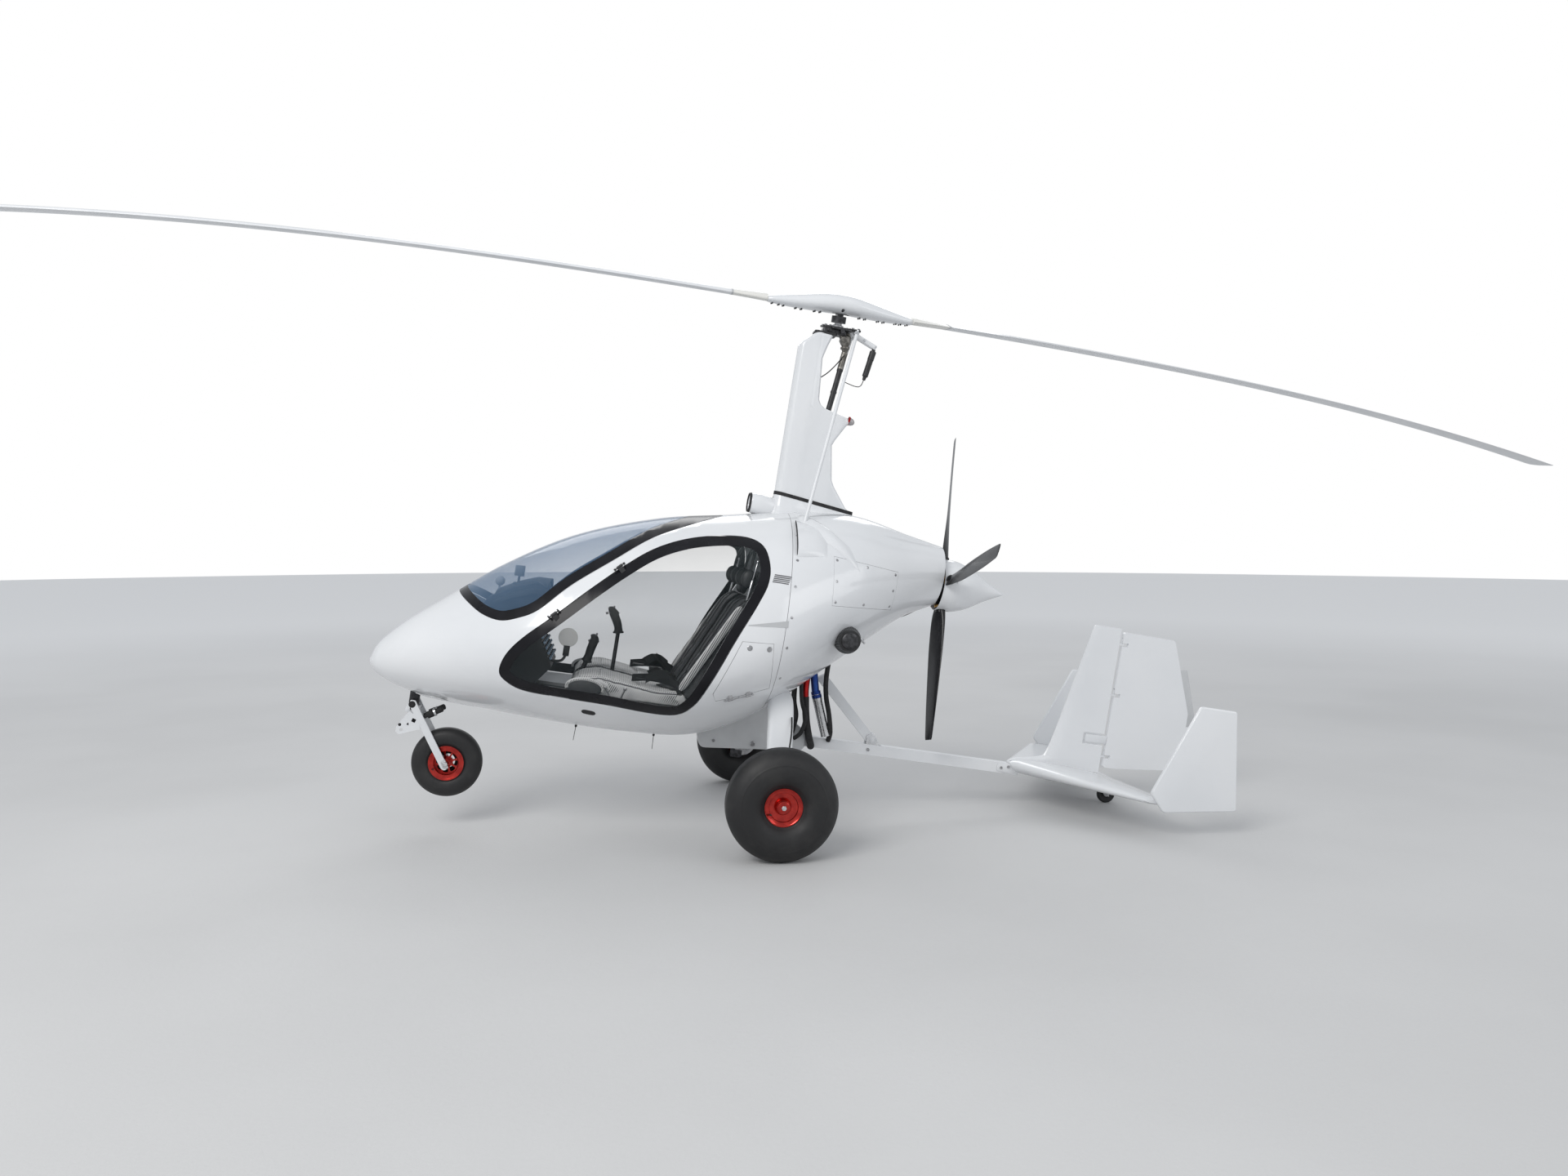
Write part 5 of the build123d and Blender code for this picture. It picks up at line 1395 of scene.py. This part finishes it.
def make_tail():
    def plane_ring(y):
        """The tailplane's section at y."""
        share = min(abs(y), 0.758)
        nose = between([(0.030, -0.905), (0.758, -1.325)], share)
        deep = between([(0.030, 0.088), (0.758, 0.026)], share)
        tip = 1.0 if abs(y) < 0.752 else 0.55
        ring = []
        shares = eased(18)
        back, middle = -1.500, 0.488 - deep * 0.42
        for s in shares:
            ring.append((nose + (back - nose) * s, y, middle + deep * 0.42 * tip * foil_share(s) ** 0.8))
        for s in shares[-2:0:-1]:
            ring.append((nose + (back - nose) * s, y, middle - deep * 0.55 * tip * foil_share(s)))
        return ring

    ys = ([-0.758, -0.752] + spaced(-0.74, -0.05, 12) + spaced(-0.03, 0.03, 4) + spaced(0.05, 0.74, 12)
          + [0.752, 0.758])
    plane = Form().grid([plane_ring(y) for y in ys], caps=True).raw("tailplane_skin")
    notch = Form().block((-0.940, -0.0292, 0.388), (-0.870, 0.0292, 0.4565)).raw("tool")
    cut(plane, "DIFFERENCE", notch)
    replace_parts(dress(plane, "airframe", "white_gel", 50), "tailplane")

    # Fin with the slot for the rudder's horn, and its hinges
    rows = []
    shares = eased(16)
    back = -1.421
    for z, nose, half in smooth_path(FIN_SHAPE, 5):
        ring = []
        for s, sign in [(s, 1) for s in shares] + [(s, -1) for s in shares[::-1]]:
            x = nose + (back - nose) * s
            wide = half * min(1.0, math.sqrt(max(1 - (1 - min(s / 0.35, 1)) ** 2, 0)))
            wide = min(wide, half + (0.011 - half) * s)
            ring.append((x, sign * wide, z))
        rows.append(ring)
    fin = Form().grid(rows, caps=True).raw("fin_skin")
    slot = Form().block((-1.430, -0.040, 0.618), (-1.300, 0.040, 0.682)).raw("tool")
    cut(fin, "DIFFERENCE", slot)
    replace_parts(dress(fin, "airframe", "white_gel", 50), "centre_fin")
    hinges = Form()
    for z in RUDDER_PINS:
        hinges.block((-1.450, -0.009, z - 0.004), (-1.415, 0.009, z + 0.004))
        hinges.rod((RUDDER_X, 0, z - 0.004), (RUDDER_X, 0, z + 0.032), 0.0048)
    hinges.piece("fin_hinges", "airframe", "white_paint")

    # Rudder with its horn and trim tab, fins at the tailplane's ends, hub of the tail wheel
    outline = softened([(RUDDER_X, 1.250), (-1.743, 1.247), (-1.884, 0.870), (-1.932, 0.715),
                        (-1.925, 0.620), (-1.804, 0.530), (-1.520, 0.502), (RUDDER_X, 0.502)], 0.018)
    flap = Form().prism(outline, -0.0125, 0.0125).raw("rudder_skin")
    taper = [(-1.428, -0.012), (-1.428, 0.012), (-1.96, 0.003), (-1.96, -0.003)]
    wedge = Form().level(taper, 0.49, 1.26).raw("tool")
    cut(flap, "INTERSECT", wedge)
    tools = []
    for z in RUDDER_PINS:
        tools.append(Form().block((-1.475, -0.03, z - 0.010), (-1.400, 0.03, z + 0.010)).raw("tool"))
        tools.append(Form().rod((RUDDER_X, 0, z), (RUDDER_X, 0, z + 0.036), 0.0055).raw("tool"))
    cut(flap, "DIFFERENCE", *tools)
    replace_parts(dress(flap, "rudder", "white_gel"), "rudder")
    horn = Form().block((RUDDER_X, -0.010, 0.628), (-1.316, 0.010, 0.672))
    horn.piece("rudder_horn", "rudder", "white_paint", bevel=0.003)
    tab = softened([(-1.740, 1.000), (-1.780, 1.085), (-1.843, 1.098), (-1.951, 0.787), (-1.860, 0.780)],
                   0.012)
    Form().prism(tab, -0.0042, 0.0042).piece("trim_tab", "rudder", "belly_grey", bevel=0.002)
    for side, label in ((1, "left"), (-1, "right")):
        low, high = sorted((side * 0.759, side * 0.781))
        edge = softened([(-1.520, 0.965), (-1.709, 0.965), (-1.788, 0.485), (-1.416, 0.4325),
                         (-1.337, 0.517)], 0.016)
        fin_side = Form().prism(edge, low, high)
        fin_side = fin_side.piece("end_fin_skin_" + label, "airframe", "white_gel", bevel=0.007, segments=4)
        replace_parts(fin_side, "end_fin_" + label)
    hub = Form().lathe([(0, -0.014), (0.014, -0.014), (0.016, -0.011), (0.030, -0.011), (0.030, 0.011),
                        (0.016, 0.011), (0.014, 0.014), (0, 0.014)], about_y((TAIL_X, 0, TAIL_Z)), 32)
    hub.piece("tail_hub", "tail_wheel", "steel")


def surface(*pieces):
    """The pieces' faces as one tree, for laying things on them."""
    verts, faces = [], []
    for piece in pieces:
        base = len(verts)
        verts += [v.co.copy() for v in piece.data.vertices]
        faces += [[base + i for i in p.vertices] for p in piece.data.polygons]
    return BVHTree.FromPolygons(verts, faces)


def stuffed(piece, cap, low=None):
    """Blows a closed cover up like a stuffed one; no point ends further than cap from where it was."""
    even = piece.modifiers.new("even", "REMESH")
    even.mode = "VOXEL"
    even.voxel_size = 0.006
    calm = piece.modifiers.new("calm", "SMOOTH")
    calm.iterations = 3
    baked(piece)
    start = [v.co.copy() for v in piece.data.vertices]
    cover = piece.modifiers.new("cover", "CLOTH").settings
    cover.quality = 4
    cover.use_pressure = True
    cover.uniform_pressure_force = 4.0
    cover.effector_weights.gravity = 0.0
    for tick in range(1, 21):
        bpy.context.scene.frame_set(tick)
    baked(piece)
    bpy.context.scene.frame_set(1)
    for vertex, old in zip(piece.data.vertices, start):
        move = vertex.co - old
        if move.length > cap:
            vertex.co = old + move * (cap / move.length)
    if low is not None:
        for vertex in piece.data.vertices:
            vertex.co.z = max(vertex.co.z, low)
    return piece


def seamed(piece, lines, depth, reach, cords, thread):
    """Draws a cover in along its seams and lays a thread in each."""
    tree = surface(piece)
    runs = [[tree.find_nearest(p)[0] for p in smooth_path(line, 14)] for line in lines]
    near = KDTree(sum(len(run) for run in runs))
    for k, spot in enumerate(p for run in runs for p in run):
        near.insert(spot, k)
    near.balance()
    normals = [v.normal.copy() for v in piece.data.vertices]
    for vertex, normal in zip(piece.data.vertices, normals):
        gap = near.find(vertex.co)[2]
        if gap < reach:
            vertex.co -= normal * depth * (1 - (gap / reach) ** 2) ** 2
    tree = surface(piece)
    for run in runs:
        cords.tube([tree.find_nearest(p)[0] for p in run[::2]], thread, 8, 1)


def webbing(form, path, wide, lift, tree=None, across=(0, 1, 0)):
    """A belt along a path, laid on a surface if a tree is given."""
    path = smooth_path(path, 7)
    rows = []
    for k, point in enumerate(path):
        ahead = (path[min(k + 1, len(path) - 1)] - path[max(k - 1, 0)]).normalized()
        if tree:
            point, normal = tree.find_nearest(point)[:2]
            side = ahead.cross(normal).normalized()
        else:
            side = Vector(across).normalized()
            normal = side.cross(ahead).normalized()
        low = point + normal * lift
        high = low + normal * 0.002
        side *= wide / 2
        rows.append([low - side, low + side, high + side, high - side])
    form.grid(rows, caps=True)


def make_seats():
    made = []
    for name, outline, y0, y1, corner, finish, cap, low, node in (
            ("seat_cushion", CUSHION, 0.050, 0.435, 0.030, "perforated", 0.011, 0.5625, "seat"),
            ("seat_rest", SEAT_BACK, 0.060, 0.425, 0.022, "charcoal", 0.009, None, None),
            ("headrest", HEADREST, 0.150, 0.340, 0.016, "charcoal", 0.007, None, None)):
        inset = cap * 0.6
        form = Form().prism(shrunk(softened(outline, corner, 4), inset), y0 + inset, y1 - inset)
        pad = stuffed(form.raw(name + "_left", KEEL_LEVEL, 0.012, 3), cap, low)
        made.append((pad, name, finish, node))
    cushion, rest, head = (entry[0] for entry in made)

    grey_thread, dark_thread = Form(), Form()
    top = ((1.474, 0.596), (1.440, 0.644), (1.330, 0.672), (1.190, 0.655), (1.050, 0.640), (0.950, 0.646))
    lines = [[(x, y, z) for x, z in top] for y in (0.122, 0.365)]
    lines += [[(x, y, z) for y in (0.122, SEAT_MIDDLE, 0.365)] for x, z in ((1.325, 0.672), (1.130, 0.645))]
    seamed(cushion, lines, 0.006, 0.020, grey_thread, 0.0011)
    edge = ((1.440, 0.570), (1.472, 0.588), (1.444, 0.638), (1.330, 0.662), (1.190, 0.645), (1.050, 0.628),
            (0.925, 0.638))
    seamed(cushion, [[(x, y, z) for x, z in edge] for y in (0.052, 0.433)],
           0.002, 0.010, grey_thread, 0.0032)
    lines = [[(0.955, y, 0.625), (0.845, y, 0.855), (0.730, y, 1.090)] for y in (0.130, 0.355)]
    lines += [[(x, y, z) for y in (0.130, SEAT_MIDDLE, 0.355)]
              for x, z in ((0.907, 0.720), (0.855, 0.830), (0.803, 0.940))]
    seamed(rest, lines, 0.006, 0.020, dark_thread, 0.0011)
    edge = ((0.955, 0.620), (0.845, 0.855), (0.730, 1.090), (0.668, 1.148))
    seamed(rest, [[(x, y, z) for x, z in edge] for y in (0.062, 0.423)], 0.002, 0.010, dark_thread, 0.0030)
    seamed(head, [[(0.640, y, 1.270), (0.655, y, 1.205), (0.668, y, 1.145)] for y in (0.170, 0.320)],
           0.003, 0.012, dark_thread, 0.0010)
    laid = surface(cushion, rest)

    # Dotted strip up the side of the back, dark oval and its pale rim on the cushion's side
    strip = Form()
    foot, crown = Vector((0.940, 0, 0.648)), Vector((0.708, 0, 1.090))
    along = (crown - foot).normalized()
    off = Vector((along.z, 0, -along.x))
    rows = []
    for t in spaced(0.004, 0.996, 40):
        wide = 0.0185 * (1 - abs(2 * t - 1) ** 18) ** 0.5
        middle = foot + (crown - foot) * t
        rows.append([middle + off * wide * math.cos(a) + Vector((0, 0.4235 + 0.0075 * math.sin(a), 0))
                     for a in turns(20)])
    strip.grid(rows, caps=True)
    both_sides(strip, "rest_strip", "perforated", angle=60)
    oval_place = (Matrix.Translation((1.384, 0.4270, 0.6000)) @ Matrix.Rotation(-math.pi / 2, 4, "X")
                  @ Matrix.Diagonal((0.082, 0.038, 1.0, 1.0)))
    dome = Form().lathe([(0, -0.006), (0.96, -0.006), (1.0, 0.000), (0.97, 0.0060), (0.85, 0.0095),
                         (0.5, 0.0115), (0, 0.0120)], oval_place, 56)
    both_sides(dome, "side_oval", "charcoal", angle=60)
    ring = [oval_place @ Vector((1.05 * math.cos(a), -1.08 * math.sin(a), 0.004))
            for a in spaced(math.radians(-14), math.radians(194), 30)]
    both_sides(Form().tube(ring, 0.0085, 12, 1), "oval_rim", "perforated", angle=60)

    # Harness: two shoulder belts, two lap belts, slack loops and the buckle
    belts, buckles = Form(), Form()
    for y in (0.185, 0.300):
        webbing(belts, [(0.668, y, 1.148), (0.728, y, 1.095), (0.845, y, 0.855),
                        (0.945, y * 0.7 + 0.073, 0.650), (1.020, SEAT_MIDDLE, 0.650)], 0.042, 0.0020, laid)
    for y in (0.062, 0.424):
        webbing(belts, [(0.930, y, 0.634), (0.965, 0.6 * y + 0.10, 0.655), (1.030, SEAT_MIDDLE, 0.650)],
                0.042, 0.0045, laid)
    for path, across in (
            ([(1.170, 0.315, 0.664), (1.090, 0.325, 0.678), (1.020, 0.340, 0.676), (0.945, 0.365, 0.662)],
             (0, 0.5, 0.85)),
            ([(1.105, 0.362, 0.672), (1.060, 0.368, 0.702), (1.012, 0.368, 0.706), (0.965, 0.362, 0.680)],
             (0.1, 0.3, 0.95)),
            ([(1.030, 0.352, 0.716), (0.990, 0.372, 0.690), (0.960, 0.398, 0.668), (0.925, 0.410, 0.652)],
             (0.35, 0.25, 0.9)),
            ([(1.090, 0.300, 0.690), (1.045, 0.310, 0.716), (1.015, 0.330, 0.690), (0.985, 0.345, 0.666)],
             (0.6, 0.3, 0.7))):
        webbing(belts, path, 0.044, 0.001, None, across)
    buckles.level([(x + 1.035, y + SEAT_MIDDLE) for x, y in rounded(-0.034, 0.034, -0.026, 0.026, 0.012)],
                  0.655, 0.672)
    buckles.level([(x + 1.125, y + 0.293) for x, y in rounded(-0.030, 0.030, -0.024, 0.024, 0.006)],
                  0.662, 0.672)
    both_sides(belts, "harness", "belt", angle=50)
    both_sides(buckles, "buckle", "satin_black", bevel=0.003, angle=50)
    both_sides(grey_thread, "cushion_seams", "decal_grey", angle=50)
    both_sides(dark_thread, "rest_seams", "belt", angle=50)
    for pad, name, finish, node in made:
        pair_up(pad, name, finish, 80, node=node)


def make_cabin():
    # Sticks: a grip over the port one, a taller one to starboard
    grips, buttons, shafts = Form(), Form(), Form()
    shafts.rod((1.264, -0.020, 0.545), (1.263, -0.020, 0.850), 0.010)
    shafts.lathe([(0, 0), (0.030, 0), (0.030, 0.004), (0.020, 0.010), (0.013, 0.030), (0, 0.030)],
                 Matrix.Translation((1.264, -0.020, 0.5625)), 32)
    for points in (((1.3985, 0.024, 0.684), (1.392, 0.024, 0.712), (1.386, 0.024, 0.745),
                    (1.3745, 0.024, 0.792), (1.372, 0.024, 0.808)),
                   ((1.262, -0.020, 0.845), (1.266, -0.020, 0.868), (1.277, -0.020, 0.897),
                    (1.300, -0.020, 0.938), (1.306, -0.020, 0.956))):
        grips.tube(points, [0.0235, 0.0200, 0.0215, 0.0225, 0.0150], 24, 10)
        top = Vector(points[-1])
        axis = (top - Vector(points[2])).normalized()
        grips.tube([top - axis * 0.030 + Vector((-0.012, 0, 0.0)), top + Vector((0.006, 0, -0.004)),
                    top + Vector((0.022, 0, -0.006))], [0.018, 0.0195, 0.013], 20, 6)
        for y in (-0.008, 0.008):
            buttons.rod(top + Vector((-0.002, y, 0.006)), top + Vector((-0.006, y, 0.020)),
                        0.0045, 0.001, 16)
        buttons.rod(top + Vector((0.020, 0, -0.020)), top + Vector((0.033, 0, -0.024)), 0.006, 0.0015, 16)
        grips.lathe([(0.0125, -0.004), (0.026, -0.004), (0.028, 0.000), (0.026, 0.005), (0.0125, 0.005)],
                    aimed(points[0], points[1]), 28, closed=True)
    grips.piece("stick_grips", "airframe", "soft_black", angle=50)
    buttons.piece("stick_buttons", "airframe", "decal_grey")
    shafts.piece("stick_shaft", "airframe", "satin_black")

    # Switches stepped down the pod's lower edge, displays above them, and a hood
    switches, faces, bezels = Form(), Form(), Form()
    edge = (Vector((1.640, 0, 0.790)), Vector((1.575, 0, 0.672)))
    run = (edge[1] - edge[0]).normalized()
    for column in range(6):
        y = 0.212 - 0.082 * column
        for row in range(5):
            middle = edge[0] + (edge[1] - edge[0]) * (row + 0.5) / 5 + Vector((0, y, 0))
            place = Matrix.Translation(middle) @ Matrix.Rotation(math.atan2(run.x, run.z), 4, "Y")
            bezels.block((-0.006, -0.019, -0.0100), (0.0085, 0.019, 0.0100), place)
            switches.block((0.006, -0.010, -0.0065), (0.0190, 0.010, 0.0055), place)
    for y in (0.108, -0.108):
        bezels.block((1.6300, y - 0.094, 0.842), (1.6440, y + 0.094, 1.010))
        faces.block((1.6280, y - 0.082, 0.856), (1.6335, y + 0.082, 0.998))
    bezels.piece("switch_plates", "airframe", "cabin_black", bevel=0.001, segments=1)
    # Switch caps coloured with a painted bluish highlight.
    switches.piece("switch_caps", "airframe", "switch_highlight_blue", bevel=0.001, segments=1)
    faces.piece("panel_displays", "airframe", "display", bevel=0.001, segments=1)
    rows = []
    for x, rise, wide in ((1.630, 1.066, 0.243), (1.700, 1.064, 0.243), (1.790, 1.030, 0.241),
                          (1.880, 0.982, 0.238)):
        arc = [(math.cos(a), math.sin(a)) for a in spaced(0, math.pi, 33)]
        outer = [(x, wide * c, rise - 0.075 + 0.075 * s ** 0.6) for c, s in arc]
        inner = [(x, (wide - 0.008) * c, rise - 0.075 + 0.067 * s ** 0.6) for c, s in reversed(arc)]
        rows.append(outer + inner)
    Form().grid(rows, caps=True).piece("panel_hood", "airframe", "soft_black", angle=50)

    # A boxed instrument on the hood, and a ball in front of it
    gear = Form()
    gear.block((1.763, 0.075, 1.060), (1.808, 0.125, 1.112))
    gear.rod((1.785, 0.100, 1.015), (1.785, 0.100, 1.062), 0.006)
    gear.lathe([(0, 0), (0.024, 0), (0.027, 0.004), (0.020, 0.010), (0, 0.010)],
               Matrix.Translation((1.785, 0.1, 1.018)))
    gear.piece("panel_compass", "airframe", "satin_black", bevel=0.005, segments=3)
    ball = Form().lathe([(0, -0.024), (0.012, -0.021), (0.021, -0.012), (0.024, 0), (0.021, 0.012),
                         (0.012, 0.021), (0, 0.024)], Matrix.Translation((1.872, 0.10, 1.022)), 32)
    ball.rod((1.872, 0.10, 0.950), (1.872, 0.10, 1.004), 0.005)
    ball.piece("panel_ball", "airframe", "cabin_grey", angle=50)

    # Round disc on its stalk, sill levers, gas strut, headset
    face = Matrix.Translation((1.504, 0.096, 0.793)) @ Matrix.Rotation(-math.pi / 2, 4, "X")
    disc = Form().lathe([(0, 0), (0.044, 0), (0.0475, 0.0015), (0.048, 0.004), (0.0475, 0.0065),
                         (0.044, 0.0075), (0, 0.0075)], face, 64)
    disc.piece("round_disc", "airframe", "disc_clear")
    stalk = Form().tube([(1.504, 0.100, 0.705), (1.520, 0.100, 0.676), (1.555, 0.100, 0.668),
                         (1.590, 0.100, 0.672)], 0.007, 12)
    stalk.block((1.4885, 0.092, 0.700), (1.5195, 0.108, 0.752))
    stalk.piece("disc_stalk", "airframe", "satin_black", bevel=0.002)
    levers = Form()
    for (x0, z0), (x1, z1) in (((1.240, 0.545), (1.290, 0.618)), ((1.224, 0.535), (1.198, 0.624))):
        levers.tube([(x0, 0.452, z0), ((x0 + x1) / 2, 0.456, (z0 + z1) / 2), (x1, 0.459, z1)],
                    [0.0055, 0.0045, 0.0045], 14)
        levers.lathe([(0, -0.009), (0.007, -0.007), (0.0095, 0), (0.007, 0.007), (0, 0.009)],
                     Matrix.Translation((x1, 0.459, z1)), 20)
    levers.block((1.205, 0.436, 0.515), (1.262, 0.462, 0.547))
    both_sides(levers, "sill_levers", "steel", angle=50)
    strut = Form().rod((0.662, 0.400, 1.313), (0.674, 0.400, 1.215), 0.0040)
    strut.rod((0.673, 0.400, 1.222), (0.686, 0.400, 1.116), 0.0075)
    for x, z in ((0.662, 1.313), (0.686, 1.116)):
        strut.lathe([(0, -0.006), (0.007, -0.005), (0.009, 0), (0.007, 0.005), (0, 0.006)],
                    Matrix.Translation((x, 0.400, z)), 20)
    both_sides(strut, "gas_strut", "silver", angle=50)
    band, cups = Form(), Form()
    arch = [(0.690, 0.125, 1.235), (0.684, 0.128, 1.300), (0.676, 0.160, 1.348), (0.672, 0.245, 1.372),
            (0.676, 0.330, 1.348), (0.684, 0.362, 1.300), (0.690, 0.365, 1.235)]
    band.tube(arch, [0.005, 0.007, 0.009, 0.010, 0.009, 0.007, 0.005], 14)
    for y, side in ((0.125, -1), (0.365, 1)):
        cups.lathe([(0, 0), (0.030, 0), (0.036, 0.006), (0.037, 0.020), (0.030, 0.032), (0.014, 0.037),
                    (0, 0.038)],
                   Matrix.Translation((0.690, y - side * 0.012, 1.225))
                   @ Matrix.Rotation(-side * math.pi / 2, 4, "X")
                   @ Matrix.Diagonal((1, 1.25, 1, 1)), 36)
    both_sides(band, "headset_band", "soft_black", angle=50)
    both_sides(cups, "headset_cups", "satin_black", angle=50)


def add_camera():
    camera = bpy.data.objects.new("camera", bpy.data.cameras.new("camera"))
    bpy.context.scene.collection.objects.link(camera)
    yaw = math.radians(8.6)
    tilt = math.radians(2.68)
    aim = Vector((-math.sin(yaw) * math.cos(tilt), -math.cos(yaw) * math.cos(tilt), -math.sin(tilt)))
    camera.location = (1.1497, 5.821, 1.466)
    camera.rotation_euler = aim.to_track_quat("-Z", "Y").to_euler()
    camera.data.lens = 26.0
    camera.data.sensor_width = 36.0
    camera.data.clip_end = 200.0
    bpy.context.scene.camera = camera


def add_light(name, place, target, size, power, shade=(1, 1, 1)):
    data = bpy.data.lights.new(name, "AREA")
    data.specular_factor = 0.35
    data.shape = "RECTANGLE"
    data.size, data.size_y = size
    data.energy = power
    data.color = shade
    light = bpy.data.objects.new(name, data)
    bpy.context.scene.collection.objects.link(light)
    light.location = place
    light.rotation_euler = (Vector(target) - Vector(place)).to_track_quat("-Z", "Y").to_euler()


def add_studio():
    add_light("key", (5.5, 6.5, 7.0), (0.3, 0, 0.8), (5, 4), 430, (1.0, 0.99, 0.97))
    add_light("fill", (-6.5, 6.0, 4.0), (0, 0, 1.0), (5, 4), 90)
    add_light("back", (0.0, -7.5, 6.0), (0, 0, 1.2), (8, 3), 140)
    world = bpy.data.worlds.new("studio")
    bpy.context.scene.world = world
    world.use_nodes = True
    tree = world.node_tree
    tree.nodes.clear()
    out = tree.nodes.new("ShaderNodeOutputWorld")
    seen = tree.nodes.new("ShaderNodeBackground")
    seen.inputs["Color"].default_value = (1, 1, 1, 1)
    lit = tree.nodes.new("ShaderNodeBackground")
    lit.inputs["Color"].default_value = (0.93, 0.96, 1.0, 1)
    lit.inputs["Strength"].default_value = 0.66
    path = tree.nodes.new("ShaderNodeLightPath")
    both = tree.nodes.new("ShaderNodeMixShader")
    tree.links.new(path.outputs["Is Camera Ray"], both.inputs[0])
    tree.links.new(lit.outputs[0], both.inputs[1])
    tree.links.new(seen.outputs[0], both.inputs[2])
    tree.links.new(both.outputs[0], out.inputs[0])
    bpy.context.scene.view_settings.view_transform = "Standard"
    floor = Form()
    rows = [[(r * math.cos(a), r * math.sin(a), 0) for a in turns(96)] for r in (0.5, 2, 5, 10, 20, 40)]
    floor.grid(rows)
    floor.add(rows[0], [tuple(range(96))])
    ground = floor.raw("floor", KEEL_LEVEL)
    ground.data.materials.append(FINISHES["floor"])


make_finishes()
add_camera()
add_studio()
make_hull()
make_hinges()
make_mast()
make_head()
make_rotor()
make_propeller()
make_wheels()
make_nose_gear()
make_hull_details()
make_keel()
make_tail()
make_seats()
make_cabin()

CAD_FINISH = {
    "white_paint": ["keel_boom", "boom_strut", "control_rod_left", "control_rod_right"],
    "rubber": ["tail_wheel"],
    "cabin_black": ["bulkhead", "instrument_pod", "console", "seat_base"],
    "steel": ["axle_left", "axle_right", "tail_fork"],
    "dark_metal": ["rotor_tower"],
    "cast_metal": ["engine_block"],
}
for finish, names in CAD_FINISH.items():
    for name in names:
        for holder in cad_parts[name].material_slots:
            holder.material = FINISHES[finish]
